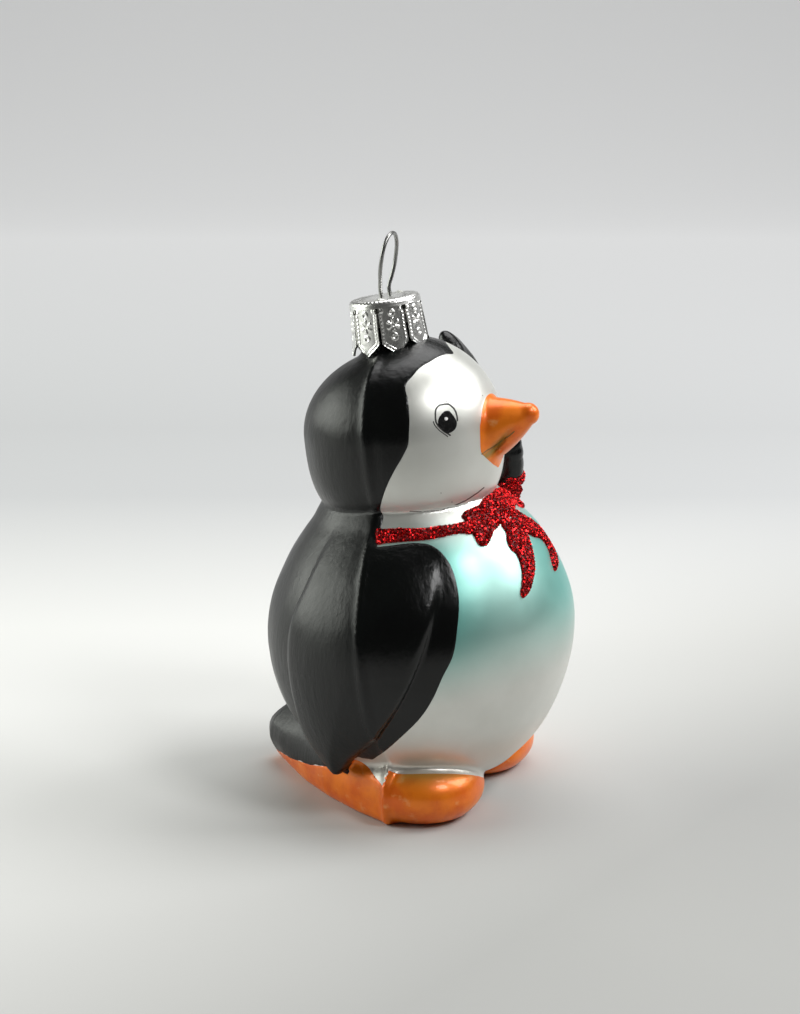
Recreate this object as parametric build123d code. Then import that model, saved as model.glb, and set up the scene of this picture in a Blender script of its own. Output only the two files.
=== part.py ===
from build123d import *
import math
import os

os.makedirs("parts", exist_ok=True)

# A hanging penguin of mouth-blown glass, about 90 mm tall with its wire loop.
# It stands on Z = 0, faces -Y, and its own right side is -X.
# The figure is laid out upright, leaned back about the X axis and cut flat where it stands.

# Glass and lacquer
glass_wall = 0.8
lacquer_thickness = 0.25
coat_gap = 0.04
paint_thickness = 0.12
block_reach = 0.75
hole_cutter_length = 1.2
glitter_thickness = 0.7
hem_height = 0.35
stroke_gap = 0.2
overrun = 60.0

# Belly ball and shoulders
lean_angle = 6.5
body_radius = 24.8
body_rise = 25.5
shoulder_radius = 18.0
shoulder_rise = 42.7
crease_radius = 12.3
crease_rise = 50.6
belly_seam_turn = 135.0

# Head
head_radius = 16.0
head_half_height = 13.4
head_rise = 58.9
head_forward = 0.5
head_seam_turn = 200.0

# Beak
beak_base_half_width = 5.2
beak_base_half_height = 5.9
beak_base_forward = 12.0
beak_base_rise = 58.2
beak_length = 11.4
beak_tip_radius = 1.8
beak_tip_rise = 60.6

# Folded right wing, a leaf with a ridge along the mould seam
wing_ridge_height = 2.0
wing_root_depth = 14.0

# Raised left wing, a flipper up the side of the head
flipper_half_width = 8.5
flipper_half_thickness = 4.6

# Tail and base
base_corner_reach = 21.6
tail_ground_reach = 27.9
tail_reach = 30.4
base_front_reach = 4.0
skirt_height = 14.0

# Feet
foot_half_width = 10.0
foot_half_length = 10.4
foot_half_height = 5.7
foot_rise = 4.0
foot_spread = 12.0
foot_forward = 1.2

# Eyes
eye_half_width = 1.5
eye_half_height = 1.85
eye_turn = 40.0
eye_rise = 62.1

# Ribbon and bow of glitter
ribbon_width = 1.9
ribbon_rise = 45.3
bow_half_width = 10.4
bow_drop = 8.6
bow_knot_radius = 2.7
tail_stroke_width = 2.8

# Glass neck, cap and wire
neck_radius = 4.5
neck_tilt = 2.5
neck_root_rise = 70.0
neck_black_length = 5.6
cap_top_rise = 80.2
cap_length = 8.3
cap_top_radius = 5.45
cap_tip_radius = 6.1
cap_sheet = 0.3
cap_edge_radius = 0.5
cap_seat_gap = 0.05
petal_count = 8
petal_point = 1.9
petal_slit = 0.45
petal_relief_radius = 0.42
petal_turn = 14.0
wire_radius = 0.32
wire_hole_gap = 0.12
wire_hole_spread = 1.7
wire_through = 1.2
wire_bend_radius = 1.7
loop_lean = 10.5
loop_half_width = 3.0
loop_crown_half_width = 3.3
loop_crown_radius = 2.9
loop_shoulder_radius = 6.0
loop_height = 9.3
loop_neck_height = 4.2
leg_length = 13.0
leg_spread = 2.9
leg_end_spread = 2.3
leg_bend_radius = 3.0
leg_knee_share = 0.55

# Where the paint changes colour, front edge of the black from the crown down to the right foot:
# forward of the axis and above the belly's centre, both as shares of body_radius.
hood_edge_shares = [
    (0.415, 1.86), (0.415, 1.782), (0.30, 1.77), (0.25, 1.70), (0.28, 1.62), (0.295, 1.50), (0.285, 1.36),
    (0.235, 1.28), (0.185, 1.205), (0.115, 1.11), (0.06, 1.02), (0.02, 0.97), (0.02, 0.80),
]
right_edge_shares = [
    (0.06, 0.755), (0.30, 0.745), (0.44, 0.68), (0.525, 0.565), (0.565, 0.42), (0.565, 0.26), (0.53, 0.085),
    (0.47, -0.03), (0.40, -0.15), (0.305, -0.28), (0.15, -0.42), (0.03, -0.515), (-0.30, -0.64), (-0.50, -1.10),
]
left_edge_shares = [
    (0.10, 0.70), (0.16, 0.50), (0.15, 0.20), (0.10, -0.15), (0.03, -0.515), (-0.30, -0.64), (-0.50, -1.10),
]
# Top edge of the orange on the base: forward of the axis as a share of body_radius, height as a
# share of skirt_height.
orange_edge_shares = [
    (0.65, 0.50), (0.45, 0.52), (0.25, 0.60), (0.0, 0.68), (-0.03, 0.64), (-0.20, 0.60), (-0.45, 0.40),
    (-0.80, 0.22), (-1.12, 0.13), (-1.40, 0.11),
]

# Cross-sections of the folded wing from the shoulder to the tip, as shares: height above the belly's
# centre, back edge, ridge and front edge behind the axis (all of body_radius), and how far the ridge
# and the edges stand off the belly (of wing_ridge_height).
wing_section_shares = [
    (0.830, 0.13, 0.02, -0.20, 0.45, 0.10),
    (0.680, 0.30, 0.00, -0.40, 0.90, 0.25),
    (0.430, 0.46, 0.02, -0.46, 0.95, 0.30),
    (0.180, 0.55, 0.05, -0.41, 1.00, 0.32),
    (-0.060, 0.575, 0.11, -0.29, 1.10, 0.35),
    (-0.300, 0.56, 0.20, -0.10, 1.40, 0.60),
    (-0.500, 0.50, 0.31, 0.13, 2.20, 1.40),
    (-0.640, 0.40, 0.355, 0.31, 2.75, 2.40),
]

# Raised wing from the shoulder to the tip, as shares: place to the left, behind the axis and above
# the head's centre (of head_radius), and the half width and half thickness (of the flipper's own).
flipper_section_shares = [
    (0.90, -0.04, -1.38, 0.80, 0.90),
    (1.13, -0.24, -0.92, 0.98, 1.00),
    (1.12, -0.42, -0.40, 0.98, 1.00),
    (1.02, -0.38, 0.02, 0.88, 0.86),
    (0.76, -0.24, 0.42, 0.66, 0.66),
    (0.60, -0.26, 0.66, 0.50, 0.55),
    (0.42, -0.20, 0.62, 0.34, 0.40),
]

# Outline of the rear base from the tail round to the front, right half, as shares: reach to the side
# (of base_corner_reach) and place from the front (0) to the tail (1) of the section.
base_outline_shares = [(0.40, 0.78), (0.66, 0.56), (0.85, 0.345), (0.985, 0.16), (0.72, 0.05)]

# Height of each base section (of skirt_height), its side reach (of base_corner_reach) and its tail
# reach between the ground's and the tail's own (0 to 1).
base_section_shares = [(-0.15, 0.985, -0.30), (0.33, 1.00, 1.00), (0.70, 0.92, 0.20), (1.02, 0.74, -2.10)]

# Right bow loop, knot side first, as shares: to the side (of bow_half_width) and above the ribbon
# (of ribbon_width).
bow_loop_shares = [(0.10, 0.45), (0.45, 1.30), (0.86, 1.75), (0.93, 0.60), (1.00, -0.65), (0.82, -1.60),
                   (0.62, -0.75), (0.36, -0.35), (0.10, -0.60)]

# Centre lines of the two hanging bow tails, as shares: to the left (of bow_half_width), down (of
# bow_drop) and half width there (of tail_stroke_width).
right_tail_shares = [(-0.37, 0.03, 0.80), (-0.44, 0.24, 0.76), (-0.57, 0.48, 0.58), (-0.74, 0.71, 0.58),
                     (-0.89, 0.90, 0.30), (-0.96, 1.00, 0.05)]
left_tail_shares = [(0.11, 0.03, 0.75), (0.19, 0.14, 0.80), (0.23, 0.37, 0.75), (0.155, 0.58, 0.53),
                    (0.12, 0.74, 0.40), (0.05, 0.84, 0.05)]

head_centre_place = (0, -head_forward, head_rise)
neck_axis_foot = Location((0, 0, neck_root_rise), (-neck_tilt, 0, 0))


def leaned(shape):
    """The upright figure's frame turned back about the X axis onto its stand."""
    return shape.rotate(Axis.X, -lean_angle)


def on_neck(shape):
    """A shape laid out on the neck's own axis, set on the head and leaned with the figure."""
    return leaned(neck_axis_foot * shape)


def neck_height(rise):
    """Height along the neck's own axis of a height in the upright figure."""
    return rise - neck_root_rise


# Forms of the figure, each thickened by grow

def belly_form(grow):
    """Round belly with sloping shoulders."""
    ball = Pos(0, 0, body_rise) * Sphere(body_radius + grow)
    slope = math.atan2(shoulder_radius - crease_radius, crease_rise - shoulder_rise)
    outward = grow / math.cos(slope)
    shoulders = Pos(0, 0, (shoulder_rise + crease_rise) / 2) * Cone(
        shoulder_radius + outward, crease_radius + outward, crease_rise - shoulder_rise)
    return (ball + shoulders).rotate(Axis.Z, belly_seam_turn)


def head_form(grow):
    """Head, a slightly flattened ball set a little forward."""
    ball = scale(Sphere(1), by=(head_radius + grow, head_radius + grow, head_half_height + grow))
    return Pos(*head_centre_place) * ball.rotate(Axis.Z, head_seam_turn)


def beak_form(grow):
    """Beak lofted from an oval base to a small rounded tip."""
    sections = []
    taper_shares = [(0.0, 1.0), (0.33, 0.83), (0.66, 0.60), (0.90, 0.33), (1.0, 0.10)]
    for along, size in taper_shares:
        rise = beak_base_rise + (beak_tip_rise - beak_base_rise) * along
        forward = beak_base_forward + (beak_length + grow) * along
        plane = Plane(origin=(0, -forward, rise), x_dir=(1, 0, 0), z_dir=(0, -1, 0))
        half_width = max(beak_base_half_width * size, beak_tip_radius * size) + grow * size
        half_height = beak_base_half_height * size + grow * size
        sections.append(plane * Ellipse(half_width, half_height))
    return loft(sections)


def wing_form(grow):
    """Folded right wing: a leaf over the flank, standing off it along a ridge."""
    sections = []
    last = len(wing_section_shares) - 1
    for index, (rise, back, ridge, front, ridge_off, edge_off) in enumerate(wing_section_shares):
        height = body_rise + rise * body_radius + {0: grow, last: -grow}.get(index, 0)
        half = (back - front) / 2
        squeeze = 1 + grow / (half * body_radius)
        middle = (back + front) / 2
        back_y = (middle + half * squeeze) * body_radius
        front_y = (middle - half * squeeze) * body_radius
        ridge_y = ridge * body_radius
        ridge_x = flank_reach(ridge_y, height) + ridge_off * wing_ridge_height + grow
        back_x = flank_reach(back_y, height) + edge_off * wing_ridge_height + grow
        front_x = flank_reach(front_y, height) + edge_off * wing_ridge_height + grow
        root_x = flank_reach(ridge_y, height) - wing_root_depth
        corners = [(-root_x, back_y), (-back_x, back_y), (-ridge_x, ridge_y), (-front_x, front_y),
                   (-root_x, front_y)]
        sections.append(Pos(0, 0, height) * make_face(Polyline(*corners, close=True)))
    return loft(sections)


def flank_reach(y, height):
    """How far the belly ball or the shoulders reach sideways at a place behind the axis."""
    up = height - body_rise
    ball = math.sqrt(max(body_radius ** 2 - up ** 2, 0))
    climb = (height - shoulder_rise) / (crease_rise - shoulder_rise)
    cone = shoulder_radius + (crease_radius - shoulder_radius) * climb
    radius = max(ball, cone if climb > 0 else 0)
    return math.sqrt(max(radius ** 2 - y ** 2, 0))


def flipper_form(grow):
    """Raised left wing: a flattened arm from the shoulder up the side of the head."""
    places = [Vector(x * head_radius, y * head_radius, head_rise + z * head_radius)
              for x, y, z, _, _ in flipper_section_shares]
    sections = []
    last = len(places) - 1
    for index, (x, y, z, width, thickness) in enumerate(flipper_section_shares):
        ahead = places[min(index + 1, last)] - places[max(index - 1, 0)]
        outward = Vector(x, y, 0)
        across = ahead.cross(outward)
        plane = Plane(origin=places[index], x_dir=across, z_dir=ahead)
        sections.append(plane * Ellipse(flipper_half_width * width + grow,
                                        flipper_half_thickness * thickness + grow))
    return loft(sections)


def neck_form(grow):
    """Short glass neck that the cap sits over."""
    length = neck_height(cap_top_rise) - cap_sheet - cap_seat_gap
    return neck_axis_foot * (Pos(0, 0, length / 2) * Cylinder(neck_radius + grow, length))


def base_section(rise_share, side_share, tail_share, grow):
    """Closed outline of the rear base at one height."""
    reach = tail_ground_reach + (tail_reach - tail_ground_reach) * tail_share + grow
    side = base_corner_reach * side_share + grow
    front = -base_front_reach - grow
    right = [(-side * across, front + (reach - front) * along) for across, along in base_outline_shares]
    left = [(-x, y) for x, y in reversed(right)]
    outline = Spline((0, reach), *right, (0, front), *left, periodic=True)
    return Pos(0, 0, rise_share * skirt_height) * make_face(outline)


def base_form(grow):
    """Rear base that runs out to the tail and to a corner at each side."""
    return loft([base_section(rise, side, tail, grow) for rise, side, tail in base_section_shares])


def foot_form(side, grow):
    """One foot, a flattened ball set beside the middle."""
    ball = scale(Sphere(1), by=(foot_half_width + grow, foot_half_length + grow, foot_half_height + grow))
    return Pos(side * foot_spread, -foot_forward, foot_rise) * ball


def forms(grow):
    """The whole figure thickened by grow, still running below its stand."""
    upright = belly_form(grow) + head_form(grow) + beak_form(grow)
    upright += wing_form(grow)
    upright += flipper_form(grow)
    return leaned(upright) + base_form(grow) + foot_form(-1, grow) + foot_form(1, grow)


def cut_flat(shape, height):
    """Remove what lies below a height."""
    slab = Pos(0, 0, height - overrun / 2) * Box(overrun * 2, overrun * 2, overrun)
    return shape - slab


# Glass

def cavity(inset):
    """Hollow inside the glass, open through the neck."""
    room = cut_flat(forms(-inset), inset)
    length = neck_height(cap_top_rise) + overrun
    bore = Pos(0, 0, length / 2 - glass_wall) * Cylinder(neck_radius - inset, length)
    return room + on_neck(bore)


def glass_body():
    """Mouth-blown shell in one piece, closed at the bottom and open at the neck."""
    outside = cut_flat(forms(0) + leaned(neck_form(0)), 0)
    return outside - cavity(glass_wall)


# Lacquer coats, one skin cut up by colour

def side_prism(points, low_x, high_x):
    """Block from an outline in the Y-Z plane, run from one X to another."""
    face = make_face(Plane.YZ * Polyline(*points, close=True))
    return Pos(low_x, 0, 0) * extrude(face, high_x - low_x, dir=(1, 0, 0))


def edge_points(shares):
    """Places in the upright figure of a painted edge."""
    return [(-forward * body_radius, body_rise + rise * body_radius) for forward, rise in shares]


def black_block():
    """Everything behind the painted edge: hood, back and both wings."""
    low_z = edge_points(right_edge_shares)[-1][1]
    back = [(overrun, low_z), (overrun, 2 * overrun), (-hood_edge_shares[0][0] * body_radius, 2 * overrun)]
    hood = edge_points(hood_edge_shares)
    right = side_prism(hood + edge_points(right_edge_shares) + back, -overrun, 0)
    left = side_prism(hood + edge_points(left_edge_shares) + back, 0, overrun)
    return leaned(right + left + flipper_form(block_reach) + neck_form(block_reach))


def orange_block():
    """Everything below the top edge of the orange on the feet and the base."""
    edge = [(-forward * body_radius, rise * skirt_height) for forward, rise in orange_edge_shares]
    below = [(overrun, -overrun), (-overrun, -overrun), (-overrun, edge[0][1])]
    level = [(overrun, edge[-1][1])]
    block = side_prism(edge + level + below, -overrun, overrun)
    return block - leaned(belly_form(coat_gap + lacquer_thickness))


def beak_block():
    """Oval column round the beak, from the face outwards."""
    reach = beak_base_forward + beak_length
    face_y = head_radius - beak_base_half_width / 2
    plane = Plane(origin=(0, -face_y, beak_base_rise), x_dir=(1, 0, 0), z_dir=(0, -1, 0))
    oval = plane * Ellipse(beak_base_half_width + lacquer_thickness, beak_base_half_height + lacquer_thickness)
    return leaned(extrude(oval, reach))


def lacquer_skin():
    """The whole lacquer layer over the glass, from its hem to the collar of the neck."""
    outer = forms(coat_gap + lacquer_thickness) + leaned(neck_form(coat_gap + lacquer_thickness))
    inner = forms(coat_gap) + leaned(neck_form(coat_gap))
    top = neck_height(neck_root_rise) + neck_black_length
    above = on_neck(Pos(0, 0, top + overrun / 2) * Box(overrun, overrun, overrun))
    return cut_flat(outer - inner, hem_height) - above


# Painted and glued-on details

def eye(side):
    """Pupil painted on the white of the face."""
    over = coat_gap * 2 + lacquer_thickness
    shell = head_form(over + paint_thickness) - head_form(over)
    plane = Plane(origin=(0, -head_forward, eye_rise), x_dir=(1, 0, 0), z_dir=(0, -1, 0))
    beam = extrude(plane * Ellipse(eye_half_width, eye_half_height), overrun)
    return leaned(shell & beam.rotate(Axis.Z, side * eye_turn))


def glitter_layer(outline):
    """Raised glitter on the belly inside an outline drawn on the front."""
    over = coat_gap * 2 + lacquer_thickness
    shell = belly_form(over + glitter_thickness) - belly_form(over)
    column = extrude(Plane.XZ * outline, overrun, dir=(0, -1, 0))
    return leaned(shell & column)


def ribbon_band(side):
    """Half of the ribbon round the throat, from the flank to the bow."""
    over = coat_gap * 2 + lacquer_thickness
    shell = belly_form(over + glitter_thickness) - belly_form(over)
    slab = Pos(0, 0, ribbon_rise) * Box(overrun, overrun, ribbon_width)
    start = side * (bow_half_width + stroke_gap)
    front = Pos(side * overrun / 2 + start, -overrun / 2 - ribbon_width / 2, ribbon_rise) * Box(
        overrun, overrun, overrun)
    stroke = shell & slab & front
    return leaned(stroke - wing_form(over) - flipper_form(over))


def bow_loop(side):
    """One loop of the bow, drawn as a rounded fan."""
    points = [(side * x * bow_half_width, ribbon_rise + z * ribbon_width) for x, z in bow_loop_shares]
    knot = Pos(0, ribbon_rise) * Circle(bow_knot_radius + stroke_gap)
    return glitter_layer(make_face(Spline(*points, periodic=True)) - knot)


def bow_knot():
    """Knot in the middle of the bow."""
    return glitter_layer(Pos(0, ribbon_rise) * Circle(bow_knot_radius))


def bow_tail(shares):
    """One hanging end of the bow, tapering to a point."""
    left = []
    right = []
    for across, down, half in shares:
        x = across * bow_half_width
        z = ribbon_rise - bow_knot_radius - down * bow_drop
        left.append((x + half * tail_stroke_width, z))
        right.append((x - half * tail_stroke_width, z))
    ring = Spline(*left) + Line(left[-1], right[-1]) + Spline(*reversed(right)) + Line(right[0], left[0])
    return glitter_layer(make_face(ring))


# Cap and wire

def petal_angle(index):
    """Direction of one petal about the neck, in degrees from +X."""
    return 180 - petal_turn + index * 360 / petal_count


def ornament_cap():
    """Stamped crown cap: a flat top with eight pointed petals that flare a little."""
    top = neck_height(cap_top_rise)
    tip = top - cap_length
    outer = Pos(0, 0, (top + tip) / 2) * Cone(cap_tip_radius, cap_top_radius, cap_length)
    outer = fillet(outer.edges().group_by(Axis.Z)[-1], cap_edge_radius)
    inner = Pos(0, 0, (top + tip) / 2 - cap_sheet) * Cone(
        cap_tip_radius - cap_sheet, cap_top_radius - cap_sheet, cap_length)
    shell = outer - inner
    notch_half = cap_tip_radius * math.tan(math.pi / petal_count)
    relief = top - cap_edge_radius - 2 * petal_relief_radius
    for index in range(petal_count):
        side = Plane(origin=(0, 0, 0), x_dir=(0, 1, 0), z_dir=(1, 0, 0))
        notch = Polyline((-notch_half, tip - petal_slit), (notch_half, tip - petal_slit), (notch_half, tip),
                         (petal_slit / 2, tip + petal_point), (petal_slit / 2, relief),
                         (-petal_slit / 2, relief), (-petal_slit / 2, tip + petal_point),
                         (-notch_half, tip), close=True)
        cutter = extrude(side * make_face(notch), cap_tip_radius * 2)
        cutter += extrude(side * Pos(0, relief) * Circle(petal_relief_radius), cap_tip_radius * 2)
        shell -= cutter.rotate(Axis.Z, petal_angle(index + 1 / 2))
    for side in (-1, 1):
        hole = Cylinder(wire_radius + wire_hole_gap, hole_cutter_length)
        shell -= Pos(side * wire_hole_spread, 0, top - cap_sheet / 2) * hole
    return on_neck(shell)


def hanger_wire():
    """Spring wire: a loop that stands upright above the cap, and two legs through it into the neck."""
    top = neck_height(cap_top_rise)
    low = top - leg_length
    knee = low + leg_length * leg_knee_share
    bend = top + wire_through
    outline = [(leg_end_spread, low), (leg_spread, knee), (wire_hole_spread, top - 2 * wire_through),
               (wire_hole_spread, bend), (loop_half_width, top + loop_neck_height),
               (loop_crown_half_width, top + loop_height + wire_radius)]
    slope = math.tan(math.radians(loop_lean))
    right = [(x, -max(z - bend, 0) * slope, z) for x, z in outline]
    left = [(-x, y, z) for x, y, z in reversed(right)]
    bends = [leg_bend_radius, wire_bend_radius, wire_bend_radius, loop_shoulder_radius, loop_crown_radius]
    path = FilletPolyline(*right, *left, radius=bends + list(reversed(bends)))
    start = Plane(origin=path @ 0, z_dir=path % 0)
    return on_neck(sweep(start * Circle(wire_radius), path))


def write(shape, node):
    """Save one named piece."""
    export_step(Compound(shape.solids()) if len(shape.solids()) > 1 else shape.solids()[0],
                "parts/" + node + ".step")


skin = lacquer_skin()
black = black_block()
orange = orange_block()
beak = beak_block()

write(glass_body(), "glass_body")
write((skin & black) - orange, "black_lacquer")
write(skin & orange, "feet_lacquer")
write((skin & beak) - black, "beak_lacquer")
write(skin - black - orange - beak, "pearl_lacquer")
write(eye(-1), "eye_right")
write(eye(1), "eye_left")
write(ribbon_band(-1), "ribbon_band_right")
write(ribbon_band(1), "ribbon_band_left")
write(bow_loop(-1), "bow_loop_right")
write(bow_loop(1), "bow_loop_left")
write(bow_knot(), "bow_knot")
write(bow_tail(right_tail_shares), "bow_tail_right")
write(bow_tail(left_tail_shares), "bow_tail_left")
write(ornament_cap(), "ornament_cap")
write(hanger_wire(), "hanger_wire")
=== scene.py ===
"""Looks of a hanging penguin ornament of blown, silvered and lacquered glass.

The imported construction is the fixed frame. The blown figure is shaped as one distance form in
millimetres and meshed, and each lacquer is a thin coat cut out of that surface along its painted
edge. The stamped cap, the wire and the glitter are built on the figure's own axes. Every finished
piece is in metres and its object sits at the origin.
"""
import logging
import math
from collections.abc import Callable, Sequence
from dataclasses import dataclass, field
from enum import Enum

import bpy
import numpy as np
from bpy.types import ID, Material, Mesh, Modifier, Node, NodeSocket, NodeTree, Object
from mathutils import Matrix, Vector

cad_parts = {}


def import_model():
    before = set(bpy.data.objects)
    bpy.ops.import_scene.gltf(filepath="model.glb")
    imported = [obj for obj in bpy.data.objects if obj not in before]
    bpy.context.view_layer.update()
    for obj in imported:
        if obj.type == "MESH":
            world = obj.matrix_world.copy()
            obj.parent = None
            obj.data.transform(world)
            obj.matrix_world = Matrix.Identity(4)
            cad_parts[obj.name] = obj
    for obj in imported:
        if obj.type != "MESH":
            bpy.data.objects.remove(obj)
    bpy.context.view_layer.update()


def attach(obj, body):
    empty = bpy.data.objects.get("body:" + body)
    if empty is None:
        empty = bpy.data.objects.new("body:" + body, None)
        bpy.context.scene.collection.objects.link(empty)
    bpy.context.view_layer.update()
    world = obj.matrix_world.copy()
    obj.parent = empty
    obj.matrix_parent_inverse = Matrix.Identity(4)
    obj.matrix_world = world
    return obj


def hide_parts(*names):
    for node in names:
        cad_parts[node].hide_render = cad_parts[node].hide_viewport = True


LOG = logging.getLogger("penguin")
MM = 0.001
# Room round a painted line before it is cut, and width of its rounded edge, in millimetres.
PAINT_MARGIN = 0.3
PAINT_EDGE = 0.05
Array = np.ndarray
Shape = tuple[Array, Array]
Pair = tuple[float, float]
Triple = tuple[float, float, float]
Table = Sequence[tuple[float, ...]]
Field = Callable[[Array], Array]


class Body(Enum):
    """Bodies that the pieces ride on."""

    ORNAMENT = "ornament"
    CAP = "cap"
    HANGER = "hanger"


class Slot(Enum):
    """Material slots of the record."""

    PEARL = "pearl_lacquer"
    BLACK = "black_lacquer"
    ORANGE = "orange_lacquer"
    EYES = "eye_paint"
    GLITTER = "red_glitter"
    CAP = "cap_tinplate"
    HANGER = "hanger_steel"


# Numbers and curves


def smooth_min(first: Array, second: Array, blend: float) -> Array:
    """Joins two distances with a fillet of a given width."""
    near = np.maximum(blend - np.abs(first - second), 0.0) / blend
    return np.minimum(first, second) - near * near * blend / 4


def smooth_max(first: Array, second: Array, blend: float) -> Array:
    """Keeps what two distances share, with its edge rounded by a given width."""
    return -smooth_min(-first, -second, blend)


def ease(value: Array) -> Array:
    """Soft step from 0 to 1."""
    part = np.clip(value, 0.0, 1.0)
    return part * part * (3 - 2 * part)


def rise(value: Array, start: float, length: float) -> Array:
    """Soft step up from 0 to 1 that begins at a place and takes a length."""
    return ease((value - start) / length)


def fall(value: Array, end: float, length: float) -> Array:
    """Soft step down from 1 to 0 that takes a length and ends at a place."""
    return ease((end - value) / length)


def hill(value: Array, middle: float, half: float) -> Array:
    """Bell curve of height 1 that falls to about a third at half from its middle."""
    return np.exp(-(((value - middle) / half) ** 2))


def glide(at: Array, table: Table, column: int = 1) -> Array:
    """Reads a smooth curve through a short table of chosen places.

    Args:
        at: Places to read, in the unit of the table's first column.
        table: Rows in rising order of their first column.
        column: Column to read.

    Returns:
        Values of that column.
    """
    places = np.array([row[0] for row in table], float)
    values = np.array([row[column] for row in table], float)
    slopes = np.gradient(values, places)
    inside = np.clip(at, places[0], places[-1])
    index = np.clip(np.searchsorted(places, inside) - 1, 0, len(places) - 2)
    width = places[index + 1] - places[index]
    part = (inside - places[index]) / width
    rest = 1 - part
    start = (1 + 2 * part) * rest * rest * values[index] + part * rest * rest * width * slopes[index]
    end = part * part * (3 - 2 * part) * values[index + 1] - part * part * rest * width * slopes[index + 1]
    return start + end


def turned(points: Array, degrees: float) -> Array:
    """Turns points about the X axis.

    Args:
        points: Rows of x, y and z.
        degrees: Angle, from +Y towards +Z.

    Returns:
        The turned points.
    """
    angle = math.radians(degrees)
    cos, sin = math.cos(angle), math.sin(angle)
    return points @ np.array([[1, 0, 0], [0, cos, -sin], [0, sin, cos]]).T


def line_reach(points: Array, corners: Array) -> Shape:
    """Distance to an open line through corners, in a plane or in space.

    Args:
        points: Rows of coordinates.
        corners: Corners of the line.

    Returns:
        Distances, and the nearest places counted in corners along the line.
    """
    best = np.full(len(points), np.inf)
    where = np.zeros(len(points))
    for index, (start, end) in enumerate(zip(corners, corners[1:])):
        along = end - start
        part = np.clip((points - start) @ along / (along @ along), 0.0, 1.0)
        gap = np.linalg.norm(points - start - part[:, None] * along, axis=1)
        closer = gap < best
        best = np.where(closer, gap, best)
        where = np.where(closer, index + part, where)
    return best, where


def polygon_reach(points: Array, corners: Array) -> Array:
    """Signed distance to a closed outline in a plane.

    Args:
        points: Rows of two coordinates.
        corners: Corners of the outline.

    Returns:
        Distances, negative inside.
    """
    best = line_reach(points, np.concatenate([corners, corners[:1]]))[0]
    inside = np.zeros(len(points), bool)
    for start, end in zip(corners, np.roll(corners, -1, axis=0)):
        along = end - start
        crosses = (start[1] > points[:, 1]) != (end[1] > points[:, 1])
        level = start[0] + (points[:, 1] - start[1]) * along[0] / (along[1] if along[1] else 1.0)
        inside ^= crosses & (points[:, 0] < level)
    return np.where(inside, -best, best)


def closed_curve(corners: Table, steps: int = 6) -> Array:
    """Rounds a closed outline through its chosen points.

    Args:
        corners: Points of the outline, two coordinates each.
        steps: Points from one chosen point to the next.

    Returns:
        Points of the rounded outline.
    """
    points = np.array(corners, float)
    part = np.arange(steps)[:, None] / steps
    turns = []
    for index in range(len(points)):
        a, b, c, d = (points[(index + shift) % len(points)] for shift in (-1, 0, 1, 2))
        turns.append(0.5 * (2 * b + (c - a) * part + (2 * a - 5 * b + 4 * c - d) * part ** 2
                            + (3 * b - a - 3 * c + d) * part ** 3))
    return np.concatenate(turns)


def ball_reach(points: Array, radii: Sequence[float], power: float = 2.0) -> Array:
    """Distance to a ball with three radii at the origin.

    Args:
        points: Rows of x, y and z.
        radii: Radius along each axis.
        power: 2 for an ellipsoid, more for a fuller, squarer one.

    Returns:
        Distances, negative inside.
    """
    scaled = np.abs(points / np.array(radii)) + 1e-9
    size = (scaled ** power).sum(1) ** (1 / power)
    slope = np.linalg.norm(scaled ** (power - 1) / np.array(radii), axis=1) * size ** (1 - power)
    return (size - 1) / slope


# The blown form


@dataclass(frozen=True)
class RaisedWing:
    """Left wing, a flattened leaf that runs from the shoulder up the side of the head."""

    # Centre, half width and half thickness of the leaf from its root to its tip.
    spine: Table = (
        (14.4, -0.6, 36.8, 6.8, 4.1),
        (17.9, -3.6, 44.2, 8, 4.4),
        (17.9, -6.1, 51.5, 8.3, 4.2),
        (16.6, -4.8, 58.6, 6.7, 3.6),
        (14.4, -5.2, 64.3, 5.6, 2.8),
        (12.4, -6, 67.1, 4.9, 2.3),
        (9.9, -6.4, 68.5, 4.4, 1.8),
    )
    steps_between: int = 4

    def stations(self) -> list[Array]:
        """Smooth rows of centre, half width and half thickness along the leaf.

        Returns:
            Five columns: x, y, z, half width and half thickness.
        """
        rows = np.array(self.spine, float)
        index = np.arange(len(rows), dtype=float)
        fine = np.linspace(0, len(rows) - 1, (len(rows) - 1) * self.steps_between + 1)
        table = [tuple([place, *row]) for place, row in zip(index, rows)]
        return [glide(fine, table, column) for column in range(1, 6)]

    def reach(self, points: Array) -> Array:
        """Distance to the leaf.

        Args:
            points: Points in the upright figure, in millimetres.

        Returns:
            Distances, negative inside.
        """
        x, y, z, half, thick = self.stations()
        centres = np.stack([x, y, z], 1)
        best, where = line_reach(points, centres)
        places = np.arange(len(centres), dtype=float)
        centre = np.stack([np.interp(where, places, centres[:, axis]) for axis in range(3)], 1)
        ahead = np.gradient(centres, axis=0)
        ahead /= np.linalg.norm(ahead, axis=1)[:, None]
        outward = centres * np.array([1.0, 1.0, 0.0])
        outward -= (outward * ahead).sum(1)[:, None] * ahead
        outward /= np.linalg.norm(outward, axis=1)[:, None]
        across = np.cross(ahead, outward)
        frames = [np.stack([np.interp(where, places, axis[:, k]) for k in range(3)], 1)
                  for axis in (across, outward, ahead)]
        offset = points - centre
        width = np.interp(where, places, half)
        depth = np.interp(where, places, thick)
        u, v, s = [(offset * axis).sum(1) for axis in frames]
        size = np.sqrt((u / width) ** 2 + (v / depth) ** 2 + (s / depth) ** 2) + 1e-9
        steep = (u / width ** 2) ** 2 + (v / depth ** 2) ** 2 + (s / depth ** 2) ** 2
        return np.minimum((size - 1) / (np.sqrt(steep) / size + 1e-9), best)


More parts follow.
